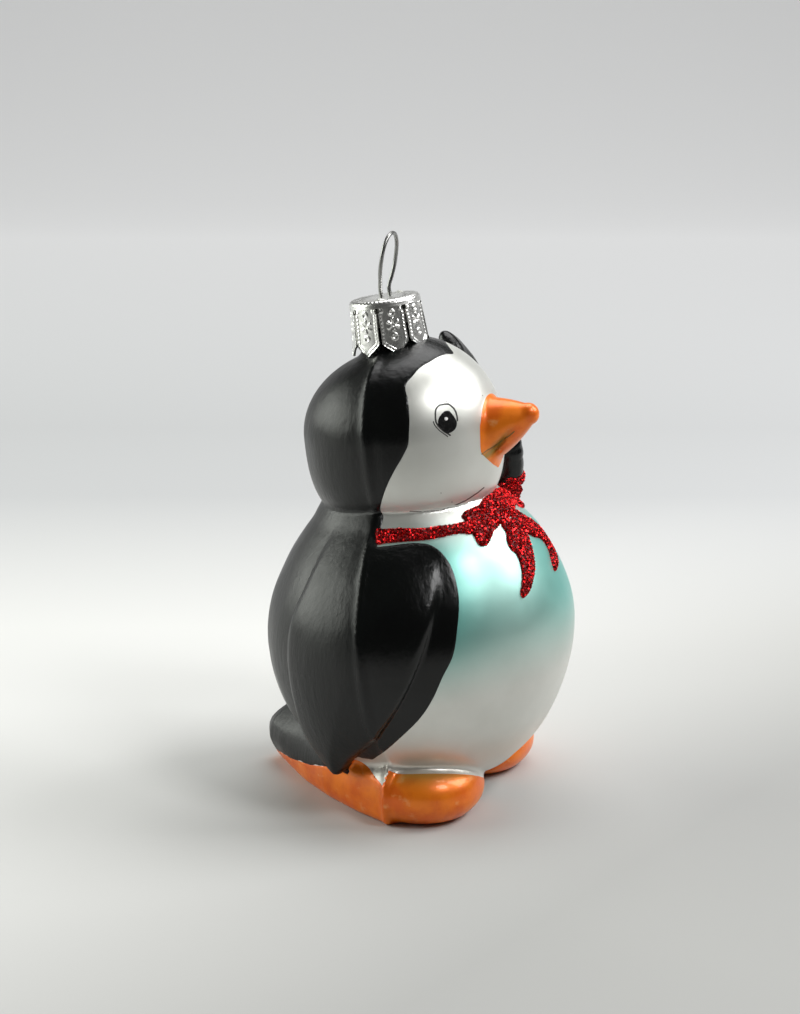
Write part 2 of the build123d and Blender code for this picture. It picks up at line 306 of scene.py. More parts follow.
@dataclass(frozen=True)
class GlassForm:
    """Outside of the blown figure as a distance in millimetres, negative inside.

    The upright figure is leaned back about the X axis; the tail, the base and the feet stand level.
    Here and in the paint, p are points of the standing figure and q points of the upright one.
    """

    lean: float = 6.5
    belly_rise: float = 25.5
    belly_radius: float = 24.7
    chest_swell: float = 0.7
    lap_draw: float = 0.9
    # Radius of the upper body by height, and how much further the chest stands out in front.
    profile: Table = (
        (20, 24.2), (25.5, 24.75), (29.9, 24.4), (34.8, 22.9), (38, 21.2), (41.2, 19.2),
        (44.2, 16.8), (45.8, 15.4), (47.3, 14.4), (49.3, 13.1), (51, 12.3), (53, 11.8),
    )
    chest: Table = (
        (20, -0.3), (25.5, -0.2), (29, 0), (34.5, 0.3), (38.6, 0.8), (42.9, 1.1), (46.5, 0.7),
        (49.5, -0.3), (51, -0.4), (53, 0),
    )
    # Start and length of the height in which the belly's ball hands over to that profile.
    shoulder_blend: Pair = (23.5, 4.0)
    # Height of the chest's swell and of the lap as a share of the radius, with half widths.
    swell_band: Pair = (0.64, 0.35)
    lap_band: Pair = (-0.45, 0.4)
    head_centre: Triple = (0.0, -0.5, 58.9)
    head_radius: float = 15.7
    head_above: float = 13.8
    crown_forward: float = 1.2
    head_below: float = 15.6
    chin_power: float = 2.9
    crease_fillet: float = 0.35
    seam_forward: float = 0.5
    seam_height: float = 0.3
    seam_half: float = 0.65
    base_seam: float = 0.72
    # Top and length of the height in which the seam moves to its place on the base.
    seam_change: Pair = (11.0, 3.0)
    beak_root: Triple = (0.0, -12.0, 57.7)
    beak_point: Triple = (0.0, -21.5, 60.5)
    beak_root_half: Pair = (5.3, 5.5)
    beak_point_radius: float = 1.7
    beak_bulge: float = 0.5
    # Mouth: height by distance in front of the axis, where it begins and ends, depth, half width.
    mouth_line: Table = ((13, 54.2), (15, 54.6), (17, 56.3), (19.4, 58.4), (20.5, 59))
    mouth_start: Pair = (13.5, 1.5)
    mouth_end: Pair = (20.3, 3.0)
    mouth_depth: float = 0.75
    mouth_half: float = 0.62
    neck_root: float = 70.0
    neck_tilt: float = 2.5
    neck_radius: float = 4.45
    neck_top: float = 79.8
    neck_depth: float = 6.0
    neck_rounding: float = 0.5
    bore_radius: float = 3.7
    bore_low: float = 63.0
    hollow_radius: float = 8.5
    hollow_drop: float = 2.0
    hollow_fillet: float = 1.5
    foot_spread: Pair = (12.0, 10.6)
    foot_forward: Pair = (1.2, 1.8)
    foot_rise: float = 4.35
    foot_radii: Triple = (9.8, 10.2, 5.6)
    foot_fullness: float = 2.2
    foot_overlap: float = 0.1
    foot_rounding: float = 0.4
    sole_rounding: float = 0.9
    # Fillets where two parts meet.
    skull_fillet: float = 1.6
    wing_fillet: float = 0.45
    foot_fillet: float = 0.4
    stand_fillet: float = 1.0
    beak_fillet: float = 0.7
    raised_fillet: float = 0.8
    bore_fillet: float = 0.3
    raised: RaisedWing = field(default_factory=RaisedWing)
    # Lowest x and z of the room in which the raised wing lies.
    raised_room: Pair = (-2.0, 26.0)
    # Folded wing: height, then the back edge, ridge and front edge behind the axis, and how far
    # each of the three stands off the body.
    wing_rows: Table = (
        (8.1, 9.7, 8.65, 7.8, 4.9, 5.5, 4.8),
        (11, 12, 8.3, 5.2, 3.4, 4.1, 2.8),
        (14.8, 14, 6.8, 0.4, 2.2, 2.9, 1.8),
        (19.3, 14.1, 4.6, -3.8, 1.7, 2.4, 1.4),
        (24.1, 14.2, 2.9, -7.1, 1.5, 2.15, 1.3),
        (28.6, 13.9, 1.5, -9.3, 1.5, 2.2, 1.2),
        (33.5, 12.9, 1.1, -10.8, 1.5, 2.3, 1.1),
        (38, 10.7, 0.5, -11.3, 1.3, 2.2, 0.8),
        (42.2, 8.8, -0.2, -10.2, 0.9, 1.9, 0.2),
        (46, 7, 0.3, -7, 0.1, 1.2, -0.6),
        (50, 5.5, 0.8, -3.5, -1.2, 0.2, -1.6),
    )
    # How hollow its panels are, how round its sides and its rim are, and how deep its root lies.
    wing_panel_curve: float = 1.15
    wing_side_rounding: float = 1.0
    wing_rim_rounding: float = 1.1
    wing_root: float = 6.0
    # Rear base: outline from the tail round the right side to the front, then how far the wall
    # stands in at each height.
    base_outline: Table = (
        (0, 30.2), (-2.6, 28.9), (-5.2, 25.9), (-9, 20.9), (-14.1, 14.4), (-18.3, 7.6),
        (-21.5, 0.8), (-18.6, -3.4), (-11, -4), (0, -4),
    )
    base_inset: Table = (
        (-1, 1.4), (0, 1), (1.2, 0.45), (3, 0.1), (5, 0), (7.5, 0.5), (9.5, 1.7),
        (11.5, 3.6), (13.5, 6.3), (16, 10.5),
    )
    # Tail tip: how much further in it is at each height, and where it begins behind the axis.
    tail_inset: Table = (
        (-1, 2.2), (0, 1.6), (2, 0.8), (4.5, 0), (6.5, 0), (9, 0.8), (12, 2.5),
    )
    tail_start: Pair = (19.0, 9.0)

    def upright(self, points: Array) -> Array:
        """Points of the standing figure as points of the upright one."""
        return turned(points, self.lean)

    def standing(self, points: Array) -> Array:
        """Points of the upright figure as points of the standing one."""
        return turned(points, -self.lean)

    def neck_frame(self, upright: Array) -> Array:
        """Points of the upright figure on the neck's own axis, from the neck's root."""
        return turned(upright - np.array([0.0, 0.0, self.neck_root]), self.neck_tilt)

    def belly(self, q: Array) -> Array:
        """Round belly, fuller at the chest and drawn in above the feet.

        Args:
            q: Upright points.

        Returns:
            Distances, negative inside.
        """
        to = q - np.array([0.0, 0.0, self.belly_rise])
        reach = np.linalg.norm(to, axis=1) + 1e-9
        up = to[:, 2] / reach
        front = np.maximum(-to[:, 1] / reach, 0.0)
        swell = self.chest_swell * hill(up, *self.swell_band) - self.lap_draw * hill(up, *self.lap_band)
        return reach - (self.belly_radius + front * swell)

    def torso(self, q: Array) -> Array:
        """Belly and sloping shoulders.

        Args:
            q: Upright points.

        Returns:
            Distances, negative inside.
        """
        out = np.hypot(q[:, 0], q[:, 1]) + 1e-9
        front = np.maximum(-q[:, 1] / out, 0.0) ** 1.5
        z = q[:, 2]
        reach = 0.2
        slope = (self.around(z + reach) - self.around(z - reach)) / (2 * reach)
        side = (out - self.around(z) - front * glide(z, self.chest)) / np.sqrt(1 + slope * slope)
        upper = np.maximum(side, z - self.profile[-1][0])
        share = rise(z, *self.shoulder_blend)
        return self.belly(q) * (1 - share) + upper * share

    def around(self, z: Array) -> Array:
        """Radius of the body without its chest at each height.

        Args:
            z: Heights in the upright figure.

        Returns:
            Radii.
        """
        up = np.clip(z - self.belly_rise, -self.belly_radius, 0.0)
        ball = np.sqrt(self.belly_radius ** 2 - up ** 2)
        return np.where(z < self.belly_rise, ball, glide(z, self.profile))

    def head(self, q: Array) -> Array:
        """Head with a forehead that rises to the front and a full chin.

        Args:
            q: Upright points.

        Returns:
            Distances, negative inside.
        """
        to = q - np.array(self.head_centre)
        out = np.hypot(to[:, 0], to[:, 1]) + 1e-9
        front = np.clip(-to[:, 1] / np.sqrt(out * out + 9.0), -1.0, 1.0)
        above = to[:, 2] > 0
        high = np.where(above, self.head_above + self.crown_forward * front, self.head_below)
        power = np.where(above, 2.0, self.chin_power)
        wide, tall = out / self.head_radius, np.abs(to[:, 2]) / high + 1e-9
        size = (wide ** power + tall ** power) ** (1 / power)
        slope = np.hypot((wide / size) ** (power - 1) / self.head_radius,
                         (tall / size) ** (power - 1) / high)
        return (size - 1) / (slope + 1e-9)

    def seam(self, p: Array, q: Array) -> Array:
        """Height of the mould seam that runs over the figure from side to side.

        Args:
            p: Standing points.
            q: The same points, upright.

        Returns:
            Heights of the seam over the surface.
        """
        low = fall(p[:, 2], *self.seam_change)
        place = (q[:, 1] + self.seam_forward) * (1 - low) + (p[:, 1] - self.base_seam) * low
        return self.seam_height * (1 + 0.4 * low) * hill(place, 0.0, self.seam_half)

    def beak(self, q: Array) -> Array:
        """Beak: a blunt cone with an oval root and a mouth pressed into each side.

        Args:
            q: Upright points.

        Returns:
            Distances, negative inside.
        """
        root = np.array(self.beak_root)
        along = np.array(self.beak_point) - root
        length = float(np.linalg.norm(along))
        ahead = along / length
        above = np.cross([1.0, 0.0, 0.0], ahead)
        to = q - root
        s = to @ ahead
        part = np.clip(s / length, 0.0, 1.0)
        shrink = 1 - part * (1 - self.beak_point_radius / self.beak_root_half[1])
        shrink = shrink - self.beak_bulge * part * (part - 1)
        wide = self.beak_root_half[0] * shrink
        tall = self.beak_root_half[1] * shrink
        beyond = np.where(s > length, s - length, np.minimum(s, 0.0))
        section = np.sqrt((to[:, 0] / wide) ** 2 + ((to @ above) / tall) ** 2 + (beyond / wide) ** 2)
        return (section + 1e-9 - 1) * np.minimum(wide, tall) * 0.9

    def mouth(self, q: Array) -> Array:
        """Depth of the mouth that is pressed into the beak's sides.

        Args:
            q: Upright points.

        Returns:
            Depths in millimetres.
        """
        forward = -q[:, 1]
        ends = rise(forward, *self.mouth_start) * fall(forward, *self.mouth_end)
        return self.mouth_depth * ends * hill(q[:, 2], glide(forward, self.mouth_line), self.mouth_half)

    def folded_wing(self, q: Array) -> Array:
        """Folded right wing: two long panels that meet in a ridge along the mould seam.

        Args:
            q: Upright points.

        Returns:
            Distances, negative inside.
        """
        z = q[:, 2]
        columns = [glide(z, self.wing_rows, k) for k in range(1, 7)]
        back, ridge, front, off_back, off_ridge, off_front = columns
        y = q[:, 1]
        behind = np.clip((y - ridge) / (back - ridge), 0.0, 1.0)
        ahead = np.clip((ridge - y) / (ridge - front), 0.0, 1.0)
        stands = off_ridge + (off_back - off_ridge) * behind ** self.wing_panel_curve
        stands = stands + (off_front - off_ridge) * ahead ** self.wing_panel_curve
        flat = np.clip(y, front, back)
        outer = np.sqrt(np.maximum(self.around(z) ** 2 - flat ** 2, 0.0)) + stands
        face = (-q[:, 0] - outer) * 0.88
        edges = smooth_max(y - back, front - y, self.wing_side_rounding)
        ends = np.maximum(self.wing_rows[0][0] - 0.2 - z, z - self.wing_rows[-1][0])
        slab = np.maximum(smooth_max(face, edges, self.wing_rim_rounding), q[:, 0] + self.wing_root)
        return smooth_max(slab, ends, self.wing_side_rounding)

    def base(self, p: Array) -> Array:
        """Rear base that runs out to the tail and to a sharp corner at each side.

        Args:
            p: Standing points.

        Returns:
            Distances, negative inside.
        """
        right = list(self.base_outline)
        left = [(-x, y) for x, y in reversed(right[1:-1])]
        outline = np.array(right + left, float)
        inset = glide(p[:, 2], self.base_inset)
        tail = glide(p[:, 2], self.tail_inset) * rise(p[:, 1], *self.tail_start)
        wall = polygon_reach(p[:, :2], outline) + inset + tail
        return np.maximum(wall, p[:, 2] - self.base_inset[-1][0])

    def foot(self, p: Array) -> Array:
        """Both feet, a full flattened ball each that ends at the mould seam.

        Args:
            p: Standing points.

        Returns:
            Distances, negative inside.
        """
        forward = np.where(p[:, 0] < 0, self.foot_forward[0], self.foot_forward[1])
        spread = np.where(p[:, 0] < 0, self.foot_spread[0], self.foot_spread[1])
        to = np.stack([np.abs(p[:, 0]) - spread, p[:, 1] + forward, p[:, 2] - self.foot_rise], 1)
        ball = ball_reach(to, self.foot_radii, self.foot_fullness)
        return smooth_max(ball, p[:, 1] - self.base_seam - self.foot_overlap, self.foot_rounding)

    def neck(self, q: Array) -> Array:
        """Glass neck under the cap.

        Args:
            q: Upright points.

        Returns:
            Distances, negative inside.
        """
        n = self.neck_frame(q)
        top = self.neck_top - self.neck_root
        ends = np.maximum(n[:, 2] - top, -self.neck_depth - n[:, 2])
        return smooth_max(np.hypot(n[:, 0], n[:, 1]) - self.neck_radius, ends, self.neck_rounding)

    def hollow(self, q: Array) -> Array:
        """Bore of the neck and the room in the head that shows through it.

        Args:
            q: Upright points.

        Returns:
            Distances, negative in the bore and in the room.
        """
        n = self.neck_frame(q)
        low = self.bore_low - self.neck_root
        bore = np.maximum(np.hypot(n[:, 0], n[:, 1]) - self.bore_radius, low - n[:, 2])
        middle = np.array([0.0, 0.0, self.bore_low - self.hollow_drop])
        return smooth_min(bore, np.linalg.norm(q - middle, axis=1) - self.hollow_radius, self.hollow_fillet)

    def without_raised_wing(self, p: Array) -> Array:
        """Distance to the figure before the raised wing is joined on.

        Args:
            p: Standing points.

        Returns:
            Distances, negative inside.
        """
        q = self.upright(p)
        skull = smooth_min(self.head(q), self.neck(q), self.skull_fillet)
        body = smooth_min(self.torso(q), self.folded_wing(q), self.wing_fillet)
        stand = smooth_min(self.base(p), self.foot(p), self.foot_fillet)
        figure = smooth_min(body, stand, self.stand_fillet)
        figure = smooth_min(figure, skull, self.crease_fillet) - self.seam(p, q)
        return smooth_min(figure, self.beak(q) + self.mouth(q), self.beak_fillet)

    def near_raised_wing(self, q: Array) -> Array:
        """Whether each point of the upright figure is near enough to the raised wing to measure."""
        return (q[:, 0] > self.raised_room[0]) & (q[:, 2] > self.raised_room[1])

    def outside(self, p: Array) -> Array:
        """Distance to the whole outside, cut flat where it stands.

        Args:
            p: Standing points.

        Returns:
            Distances, negative inside.
        """
        q = self.upright(p)
        figure = self.without_raised_wing(p)
        near = self.near_raised_wing(q)
        if near.any():
            figure[near] = smooth_min(figure[near], self.raised.reach(q[near]), self.raised_fillet)
        return smooth_max(figure, -p[:, 2], self.sole_rounding)

    def reach(self, p: Array) -> Array:
        """Distance to the glass with its open neck, negative in it and in what it encloses."""
        return smooth_max(self.outside(p), -self.hollow(self.upright(p)), self.bore_fillet)


# Meshes


@dataclass
class Skin:
    """A triangle mesh in millimetres that lies on a form."""

    points: Array
    faces: Array
    form: Field

    @staticmethod
    def net(form: Field, low: Sequence[float], high: Sequence[float], step: float) -> "Skin":
        """Meshes a form with one point in each cell that its surface crosses.

        Args:
            form: Distances, negative inside.
            low: Lowest corner of the room that holds the form.
            high: Highest corner.
            step: Size of a cell.

        Returns:
            A closed mesh whose faces point outwards.
        """
        counts = [int(math.ceil((b - a) / step)) + 1 for a, b in zip(low, high)]
        axes = [a + np.arange(n) * step for a, n in zip(low, counts)]
        skip = 4
        coarse_axes = [axis[::skip] for axis in axes]
        grid = np.stack(np.meshgrid(*coarse_axes, indexing="ij"), -1).reshape(-1, 3)
        coarse = form(grid).reshape([len(axis) for axis in coarse_axes])
        values = coarse
        for axis in range(3):
            values = np.repeat(values, skip, axis=axis)
        rough = values[:counts[0], :counts[1], :counts[2]].copy()
        pad = [(0, c - s) for c, s in zip(counts, rough.shape)]
        rough = np.pad(rough, pad, mode="edge")
        near = np.abs(rough) < step * skip * 2.6
        index = np.nonzero(near)
        places = np.stack([axes[axis][index[axis]] for axis in range(3)], 1)
        rough[index] = form(places)
        return Skin(*Skin.cells(rough, np.array(low, float), step), form)

    @staticmethod
    def cells(values: Array, low: Array, step: float) -> Shape:
        """Points and triangles of the zero surface of a grid of distances.

        Args:
            values: Distances at the grid's corners.
            low: Place of the first corner.
            step: Size of a cell.

        Returns:
            Points in millimetres and triangles.
        """
        inside = values < 0
        shape = tuple(n - 1 for n in values.shape)
        total = np.zeros(shape + (3,))
        count = np.zeros(shape)
        crossings = []
        for axis in range(3):
            ahead = [slice(None)] * 3
            behind = [slice(None)] * 3
            ahead[axis] = slice(1, None)
            behind[axis] = slice(None, -1)
            first, second = values[tuple(behind)], values[tuple(ahead)]
            crossed = inside[tuple(behind)] != inside[tuple(ahead)]
            where = np.argwhere(crossed)
            a, b = first[crossed], second[crossed]
            place = where.astype(float)
            place[:, axis] += a / (a - b)
            steps = np.insert([(0, 0), (1, 0), (1, 1), (0, 1)], axis, 0, axis=1)
            ring = [where - shift for shift in steps]
            fits = [((cell >= 0) & (cell < np.array(shape))).all(1) for cell in ring]
            for turn in (0, 3, 1, 2):
                good = fits[turn]
                np.add.at(total, tuple(ring[turn][good].T), place[good])
                np.add.at(count, tuple(ring[turn][good].T), 1)
            crossings.append((axis, ring, np.all(fits, 0), a < 0))
        used = count > 0
        number = np.full(shape, -1)
        number[used] = np.arange(int(used.sum()))
        points = low + step * total[used] / count[used][:, None]
        quads = []
        for axis, ring, good, leaves in crossings:
            corners = np.stack([number[tuple(cell[good].T)] for cell in ring], 1)
            flip = leaves[good] if axis != 1 else ~leaves[good]
            corners[flip] = corners[flip][:, ::-1]
            quads.append(corners)
        corners = np.concatenate(quads)[:, ::-1]
        faces = np.concatenate([corners[:, [0, 1, 2]], corners[:, [0, 2, 3]]])
        return points, faces

    def normals(self) -> Array:
        """Outward unit directions of the form at the mesh's points.

        Returns:
            One unit direction for each point.
        """
        step = 0.02
        slope = np.stack([self.form(self.points + step * row) - self.form(self.points - step * row)
                          for row in np.eye(3)], 1)
        return slope / (np.linalg.norm(slope, axis=1)[:, None] + 1e-12)

    def settled(self, rounds: int = 3, smooth: int = 1) -> "Skin":
        """Evens the mesh out and moves its points onto the form.

        Args:
            rounds: Times that the points are moved.
            smooth: How many of the first rounds also even out the mesh.

        Returns:
            The settled mesh.
        """
        skin = self
        for turn in range(rounds):
            points = skin.points
            if turn < smooth:
                total = np.zeros_like(points)
                count = np.zeros(len(points))
                for a, b in ((0, 1), (1, 2), (2, 0)):
                    np.add.at(total, skin.faces[:, a], points[skin.faces[:, b]])
                    np.add.at(total, skin.faces[:, b], points[skin.faces[:, a]])
                    np.add.at(count, skin.faces[:, a], 1)
                    np.add.at(count, skin.faces[:, b], 1)
                points = 0.5 * points + 0.5 * total / count[:, None]
                skin = Skin(points, skin.faces, skin.form)
            normal = skin.normals()
            gap = np.clip(skin.form(points), -0.5, 0.5)
            skin = Skin(points - normal * gap[:, None], skin.faces, skin.form)
        return skin

    def edges(self) -> Array:
        """The three edges of every face, as pairs of points in the face's own direction."""
        return np.concatenate([self.faces[:, [0, 1]], self.faces[:, [1, 2]], self.faces[:, [2, 0]]])

    def near(self, inside: Field, margin: float) -> "Skin":
        """Faces on which a field is above 0, with a margin round them in millimetres."""
        return self.part(inside(self.points) > -margin)

    def part(self, keep: Array) -> "Skin":
        """Faces whose points are all kept, with their own points alone.

        Args:
            keep: Whether each point is kept.

        Returns:
            The smaller mesh.
        """
        faces = self.faces[keep[self.faces].all(1)]
        used, inverse = np.unique(faces, return_inverse=True)
        return Skin(self.points[used], inverse.reshape(-1, 3), self.form)

    def finer(self, times: int) -> "Skin":
        """Divides each face into four and moves the new points onto the form, as often as told.

        Args:
            times: How often the faces are divided.

        Returns:
            The finer mesh.
        """
        skin = self
        for _ in range(times):
            unique, inverse = np.unique(np.sort(skin.edges(), 1), axis=0, return_inverse=True)
            middles = skin.points[unique].mean(1)
            inverse = inverse.reshape(3, -1) + len(skin.points)
            a, b, c = skin.faces.T
            ab, bc, ca = inverse
            quarters = ((a, ab, ca), (ab, b, bc), (ca, bc, c), (ab, bc, ca))
            faces = np.concatenate([np.stack(quarter, 1) for quarter in quarters])
            skin = Skin(np.concatenate([skin.points, middles]), faces, skin.form).settled(1, 0)
        return skin

    def trimmed(self, inside: Field, least: float = 0.004) -> tuple["Skin", Array]:
        """Keeps the part of the mesh where a field is above 0, cut sharply along its edge.

        Args:
            inside: Signed distance to the edge, above 0 in what is kept.
            least: Smallest size of the field at a point, which avoids needle faces.

        Returns:
            The trimmed mesh and the field at its points.
        """
        value = inside(self.points)
        value = np.where(np.abs(value) < least, np.where(value < 0, -least, least), value)
        positive = value > 0
        count = positive[self.faces].sum(1)
        whole = self.faces[count == 3]
        made = []
        pairs = []
        for amount in (1, 2):
            cut = self.faces[count == amount]
            odd = positive[cut] if amount == 1 else ~positive[cut]
            turn = np.argmax(odd, 1)
            rows = np.arange(len(cut))
            a, b, c = [cut[rows, (turn + k) % 3] for k in range(3)]
            pairs.append((amount, a, b, c))
        edges = np.concatenate([np.stack(e, 1) for _, a, b, c in pairs for e in ((a, b), (a, c))])
        if len(edges):
            unique, inverse = np.unique(np.sort(edges, 1), axis=0, return_inverse=True)
            inverse = inverse.ravel() + len(self.points)
            f0, f1 = value[unique[:, 0]], value[unique[:, 1]]
            part = (f0 / (f0 - f1))[:, None]
            fresh = self.points[unique[:, 0]] * (1 - part) + self.points[unique[:, 1]] * part
            start = 0
            for amount, a, b, c in pairs:
                ab = inverse[start:start + len(a)]
                ac = inverse[start + len(a):start + 2 * len(a)]
                start += 2 * len(a)
                if amount == 1:
                    made.append(np.stack([a, ab, ac], 1))
                else:
                    made.append(np.stack([ab, b, c], 1))
                    made.append(np.stack([ab, c, ac], 1))
            points = np.concatenate([self.points, fresh])
            value = np.concatenate([value, np.zeros(len(fresh))])
        else:
            points = self.points
        faces = np.concatenate([whole, *made])
        used, renumbered = np.unique(faces, return_inverse=True)
        return Skin(points[used], renumbered.reshape(-1, 3), self.form), value[used]

    def coat(self, inside: Field, thickness: float, edge: float, sunk: float = 0.03,
             grain: Field | None = None) -> Shape:
        """A closed coat on the part of the mesh where a field is above 0.

        Args:
            inside: Signed distance to the painted edge, above 0 under the paint.
            thickness: Height of the coat's top over the form.
            edge: Width over which the coat rounds up from its edge.
            sunk: Depth of its underside below the form.
            grain: Extra height of the top, for a coarse coat.

        Returns:
            Points and faces of the closed coat.
        """
        skin, value = self.trimmed(inside)
        normal = skin.normals()
        part = 1 - np.clip(value / edge, 0.0, 1.0)
        rise = thickness * np.sqrt(np.maximum(1 - part * part, 0.0)) + 0.012
        if grain is not None:
            rise = rise + grain(skin.points) * (1 - part)
        top = skin.points + normal * rise[:, None]
        under = skin.points - normal * sunk
        directed = skin.edges()
        _, first, count = np.unique(np.sort(directed, 1), axis=0, return_index=True, return_counts=True)
        rim = directed[first[count == 1]]
        shift = len(skin.points)
        a, b = rim.T
        wall = [np.stack([b, a, a + shift], 1), np.stack([b, a + shift, b + shift], 1)]
        faces = np.concatenate([skin.faces, skin.faces[:, ::-1] + shift, *wall])
        return np.concatenate([top, under]), faces


def linked(name: str, data: ID) -> Object:
    """A new object with its data, linked to the scene."""
    made = bpy.data.objects.new(name, data)
    bpy.context.scene.collection.objects.link(made)
    return made


def mesh_object(name: str, points: Array, faces: Array,
                crease: float = 50.0) -> Object:
    """A mesh object at the origin from points in millimetres.

    Args:
        name: Name of the piece.
        points: Rows of x, y and z, in millimetres.
        faces: Triangles.
        crease: Angle in degrees from which an edge shades sharp.

    Returns:
        The object, linked to the scene.
    """
    mesh = bpy.data.meshes.new(name)
    mesh.from_pydata((points * MM).tolist(), [], faces.tolist())
    mesh.polygons.foreach_set("use_smooth", np.ones(len(mesh.polygons), bool))
    mesh.set_sharp_from_angle(angle=math.radians(crease))
    mesh.validate()
    return linked(name, mesh)


def paint_value(piece: Object, name: str, values: Array) -> None:
    """Stores one number for each point of a piece, for its material to read."""
    attribute = piece.data.attributes.new(name, "FLOAT", "POINT")
    attribute.data.foreach_set("value", values.astype(np.float32))


# Materials


def linear(code: str) -> tuple[float, float, float, float]:
    """Turns an sRGB hex colour of six digits to linear red, green, blue and 1."""
    parts = [int(code[k:k + 2], 16) / 255 for k in (0, 2, 4)]
    return (*[c / 12.92 if c <= 0.04045 else ((c + 0.055) / 1.055) ** 2.4 for c in parts], 1.0)


def fill(tree: NodeTree, node: Node, inputs: dict) -> None:
    """Gives a node's inputs their values or links.

    Args:
        tree: Tree of the node.
        node: The node.
        inputs: Value or output socket for each input, by name or number.
    """
    for key, value in inputs.items():
        if isinstance(value, NodeSocket):
            tree.links.new(value, node.inputs[key])
        else:
            node.inputs[key].default_value = value


def add_node(tree: NodeTree, kind: str, settings: dict | None = None,
             inputs: dict | None = None) -> Node:
    """Adds a node with its settings and its inputs' values or links.

    Args:
        tree: Tree that gets the node.
        kind: Type name of the node.
        settings: Properties of the node.
        inputs: Value or output socket for each input, by name or number.

    Returns:
        The node.
    """
    node = tree.nodes.new(kind)
    for key, value in (settings or {}).items():
        setattr(node, key, value)
    fill(tree, node, inputs or {})
    return node


class Look:
    """A material with one principled shader while it is being made."""

    def __init__(self, name: str) -> None:
        """Starts a material.

        Args:
            name: Name of the material.
        """
        self.material = bpy.data.materials.new(name)
        self.material.use_nodes = True
        self.tree = self.material.node_tree

    def done(self, inputs: dict) -> Material:
        """The material, with values or links on its principled shader's inputs."""
        fill(self.tree, self.tree.nodes["Principled BSDF"], inputs)
        return self.material

    def painted(self, name: str) -> NodeSocket:
        """Socket with the numbers that the piece's points carry under a name."""
        return add_node(self.tree, "ShaderNodeAttribute", {"attribute_name": name}).outputs["Fac"]

    def noise(self, size: float, detail: float = 4.0, stretch: Sequence[float] = (1, 1, 1),
              rough: float = 0.55) -> NodeSocket:
        """Cloudy pattern whose patches have a real size.

        Args:
            size: Size of a patch, in millimetres.
            detail: Levels of finer detail.
            stretch: How much longer the patches are along each axis.
            rough: Strength of the finer levels.

        Returns:
            Socket with numbers from 0 to 1.
        """
        place = add_node(self.tree, "ShaderNodeTexCoord").outputs["Object"]
        scale = [1 / (size * MM * k) for k in stretch]
        mapping = add_node(self.tree, "ShaderNodeMapping", inputs={"Vector": place, "Scale": scale})
        return add_node(self.tree, "ShaderNodeTexNoise", inputs={
            "Vector": mapping.outputs[0], "Scale": 1.0, "Detail": detail, "Roughness": rough}).outputs["Fac"]

    def ramp(self, values: NodeSocket, low: float, high: float, first: float = 0.0,
             last: float = 1.0) -> NodeSocket:
        """Stretches numbers so that low becomes first and high becomes last."""
        return add_node(self.tree, "ShaderNodeMapRange", inputs={
            "Value": values, "From Min": low, "From Max": high, "To Min": first, "To Max": last}).outputs[0]

    def mix(self, share: NodeSocket | float, first: object, second: object) -> NodeSocket:
        """Mixes two colours or sockets; the share is that of the second."""
        return add_node(self.tree, "ShaderNodeMix", {"data_type": "RGBA"}, {
            0: share, 6: first, 7: second}).outputs[2]

    def bump(self, height: NodeSocket, depth: float) -> NodeSocket:
        """Bent normal of a relief from a pattern of heights, its depth in millimetres."""
        return add_node(self.tree, "ShaderNodeBump", inputs={
            "Height": height, "Distance": depth * MM, "Strength": 1.0}).outputs[0]


@dataclass(frozen=True)
class PearlLacquer:
    """Sprayed pearl-white lacquer over silvered glass, with an airbrushed chest.

    The silver shows through as broad, soft reflections; the airbrushed mist has no edge.
    """

    name: str = "pearl_lacquer_on_silvered_glass"
    white: str = "E4E5DF"
    shade: str = "C6C5BD"
    mist: str = "70C6BB"
    reflected_orange: str = "E3A87E"
    # Colour of the painted reflection of the orange base on the white just above it.
    metallic: float = 0.7
    roughness: float = 0.4

    def build(self) -> Material:
        """The finished material.

        Returns:
            The material.
        """
        look = Look(self.name)
        mottle = look.ramp(look.noise(9.0, 3.0), 0.35, 0.7)
        body = look.mix(mottle, linear(self.white), linear(self.shade))
        body = look.mix(0.7, body, linear(self.white))
        body = look.mix(look.painted("chest_mist"), body, linear(self.mist))
        # Painted reflection: the orange base's reflection in the silver, painted onto the white just above
        # it.
        body = look.mix(look.painted("painted_orange_reflection"), body, linear(self.reflected_orange))
        rough = look.ramp(look.noise(3.0), 0.3, 0.7, self.roughness - 0.03, self.roughness + 0.04)
        return look.done({
            "Base Color": body, "Roughness": rough, "Metallic": self.metallic, "Coat Weight": 0.3,
            "Coat Roughness": 0.2, "Normal": look.bump(look.noise(1.6, 2.0), 0.012)})


@dataclass(frozen=True)
class BrushedBlackLacquer:
    """Hand-brushed black lacquer: deep gloss in front, with dull brush marks at the back."""

    name: str = "brushed_black_lacquer"
    black: str = "050606"
    grey: str = "0B0E0D"
    roughness: float = 0.2
    worn_roughness: float = 0.4

    def build(self) -> Material:
        """The finished material.

        Returns:
            The material.
        """
        look = Look(self.name)
        strokes = look.noise(1.1, 6.0, (1.0, 1.4, 5.0), 0.65)
        patches = look.noise(6.0, 4.0, (1.0, 1.0, 2.0))
        body = look.mix(look.ramp(patches, 0.4, 0.75), linear(self.black), linear(self.grey))
        worn = add_node(look.tree, "ShaderNodeMath", {"operation": "MULTIPLY"}, {
            0: look.painted("dull"), 1: patches}).outputs[0]
        rough = look.ramp(worn, 0.1, 0.6, self.roughness, self.worn_roughness)
        return look.done({"Base Color": body, "Roughness": rough, "Specular IOR Level": 0.4,
                          "Normal": look.bump(strokes, 0.1)})


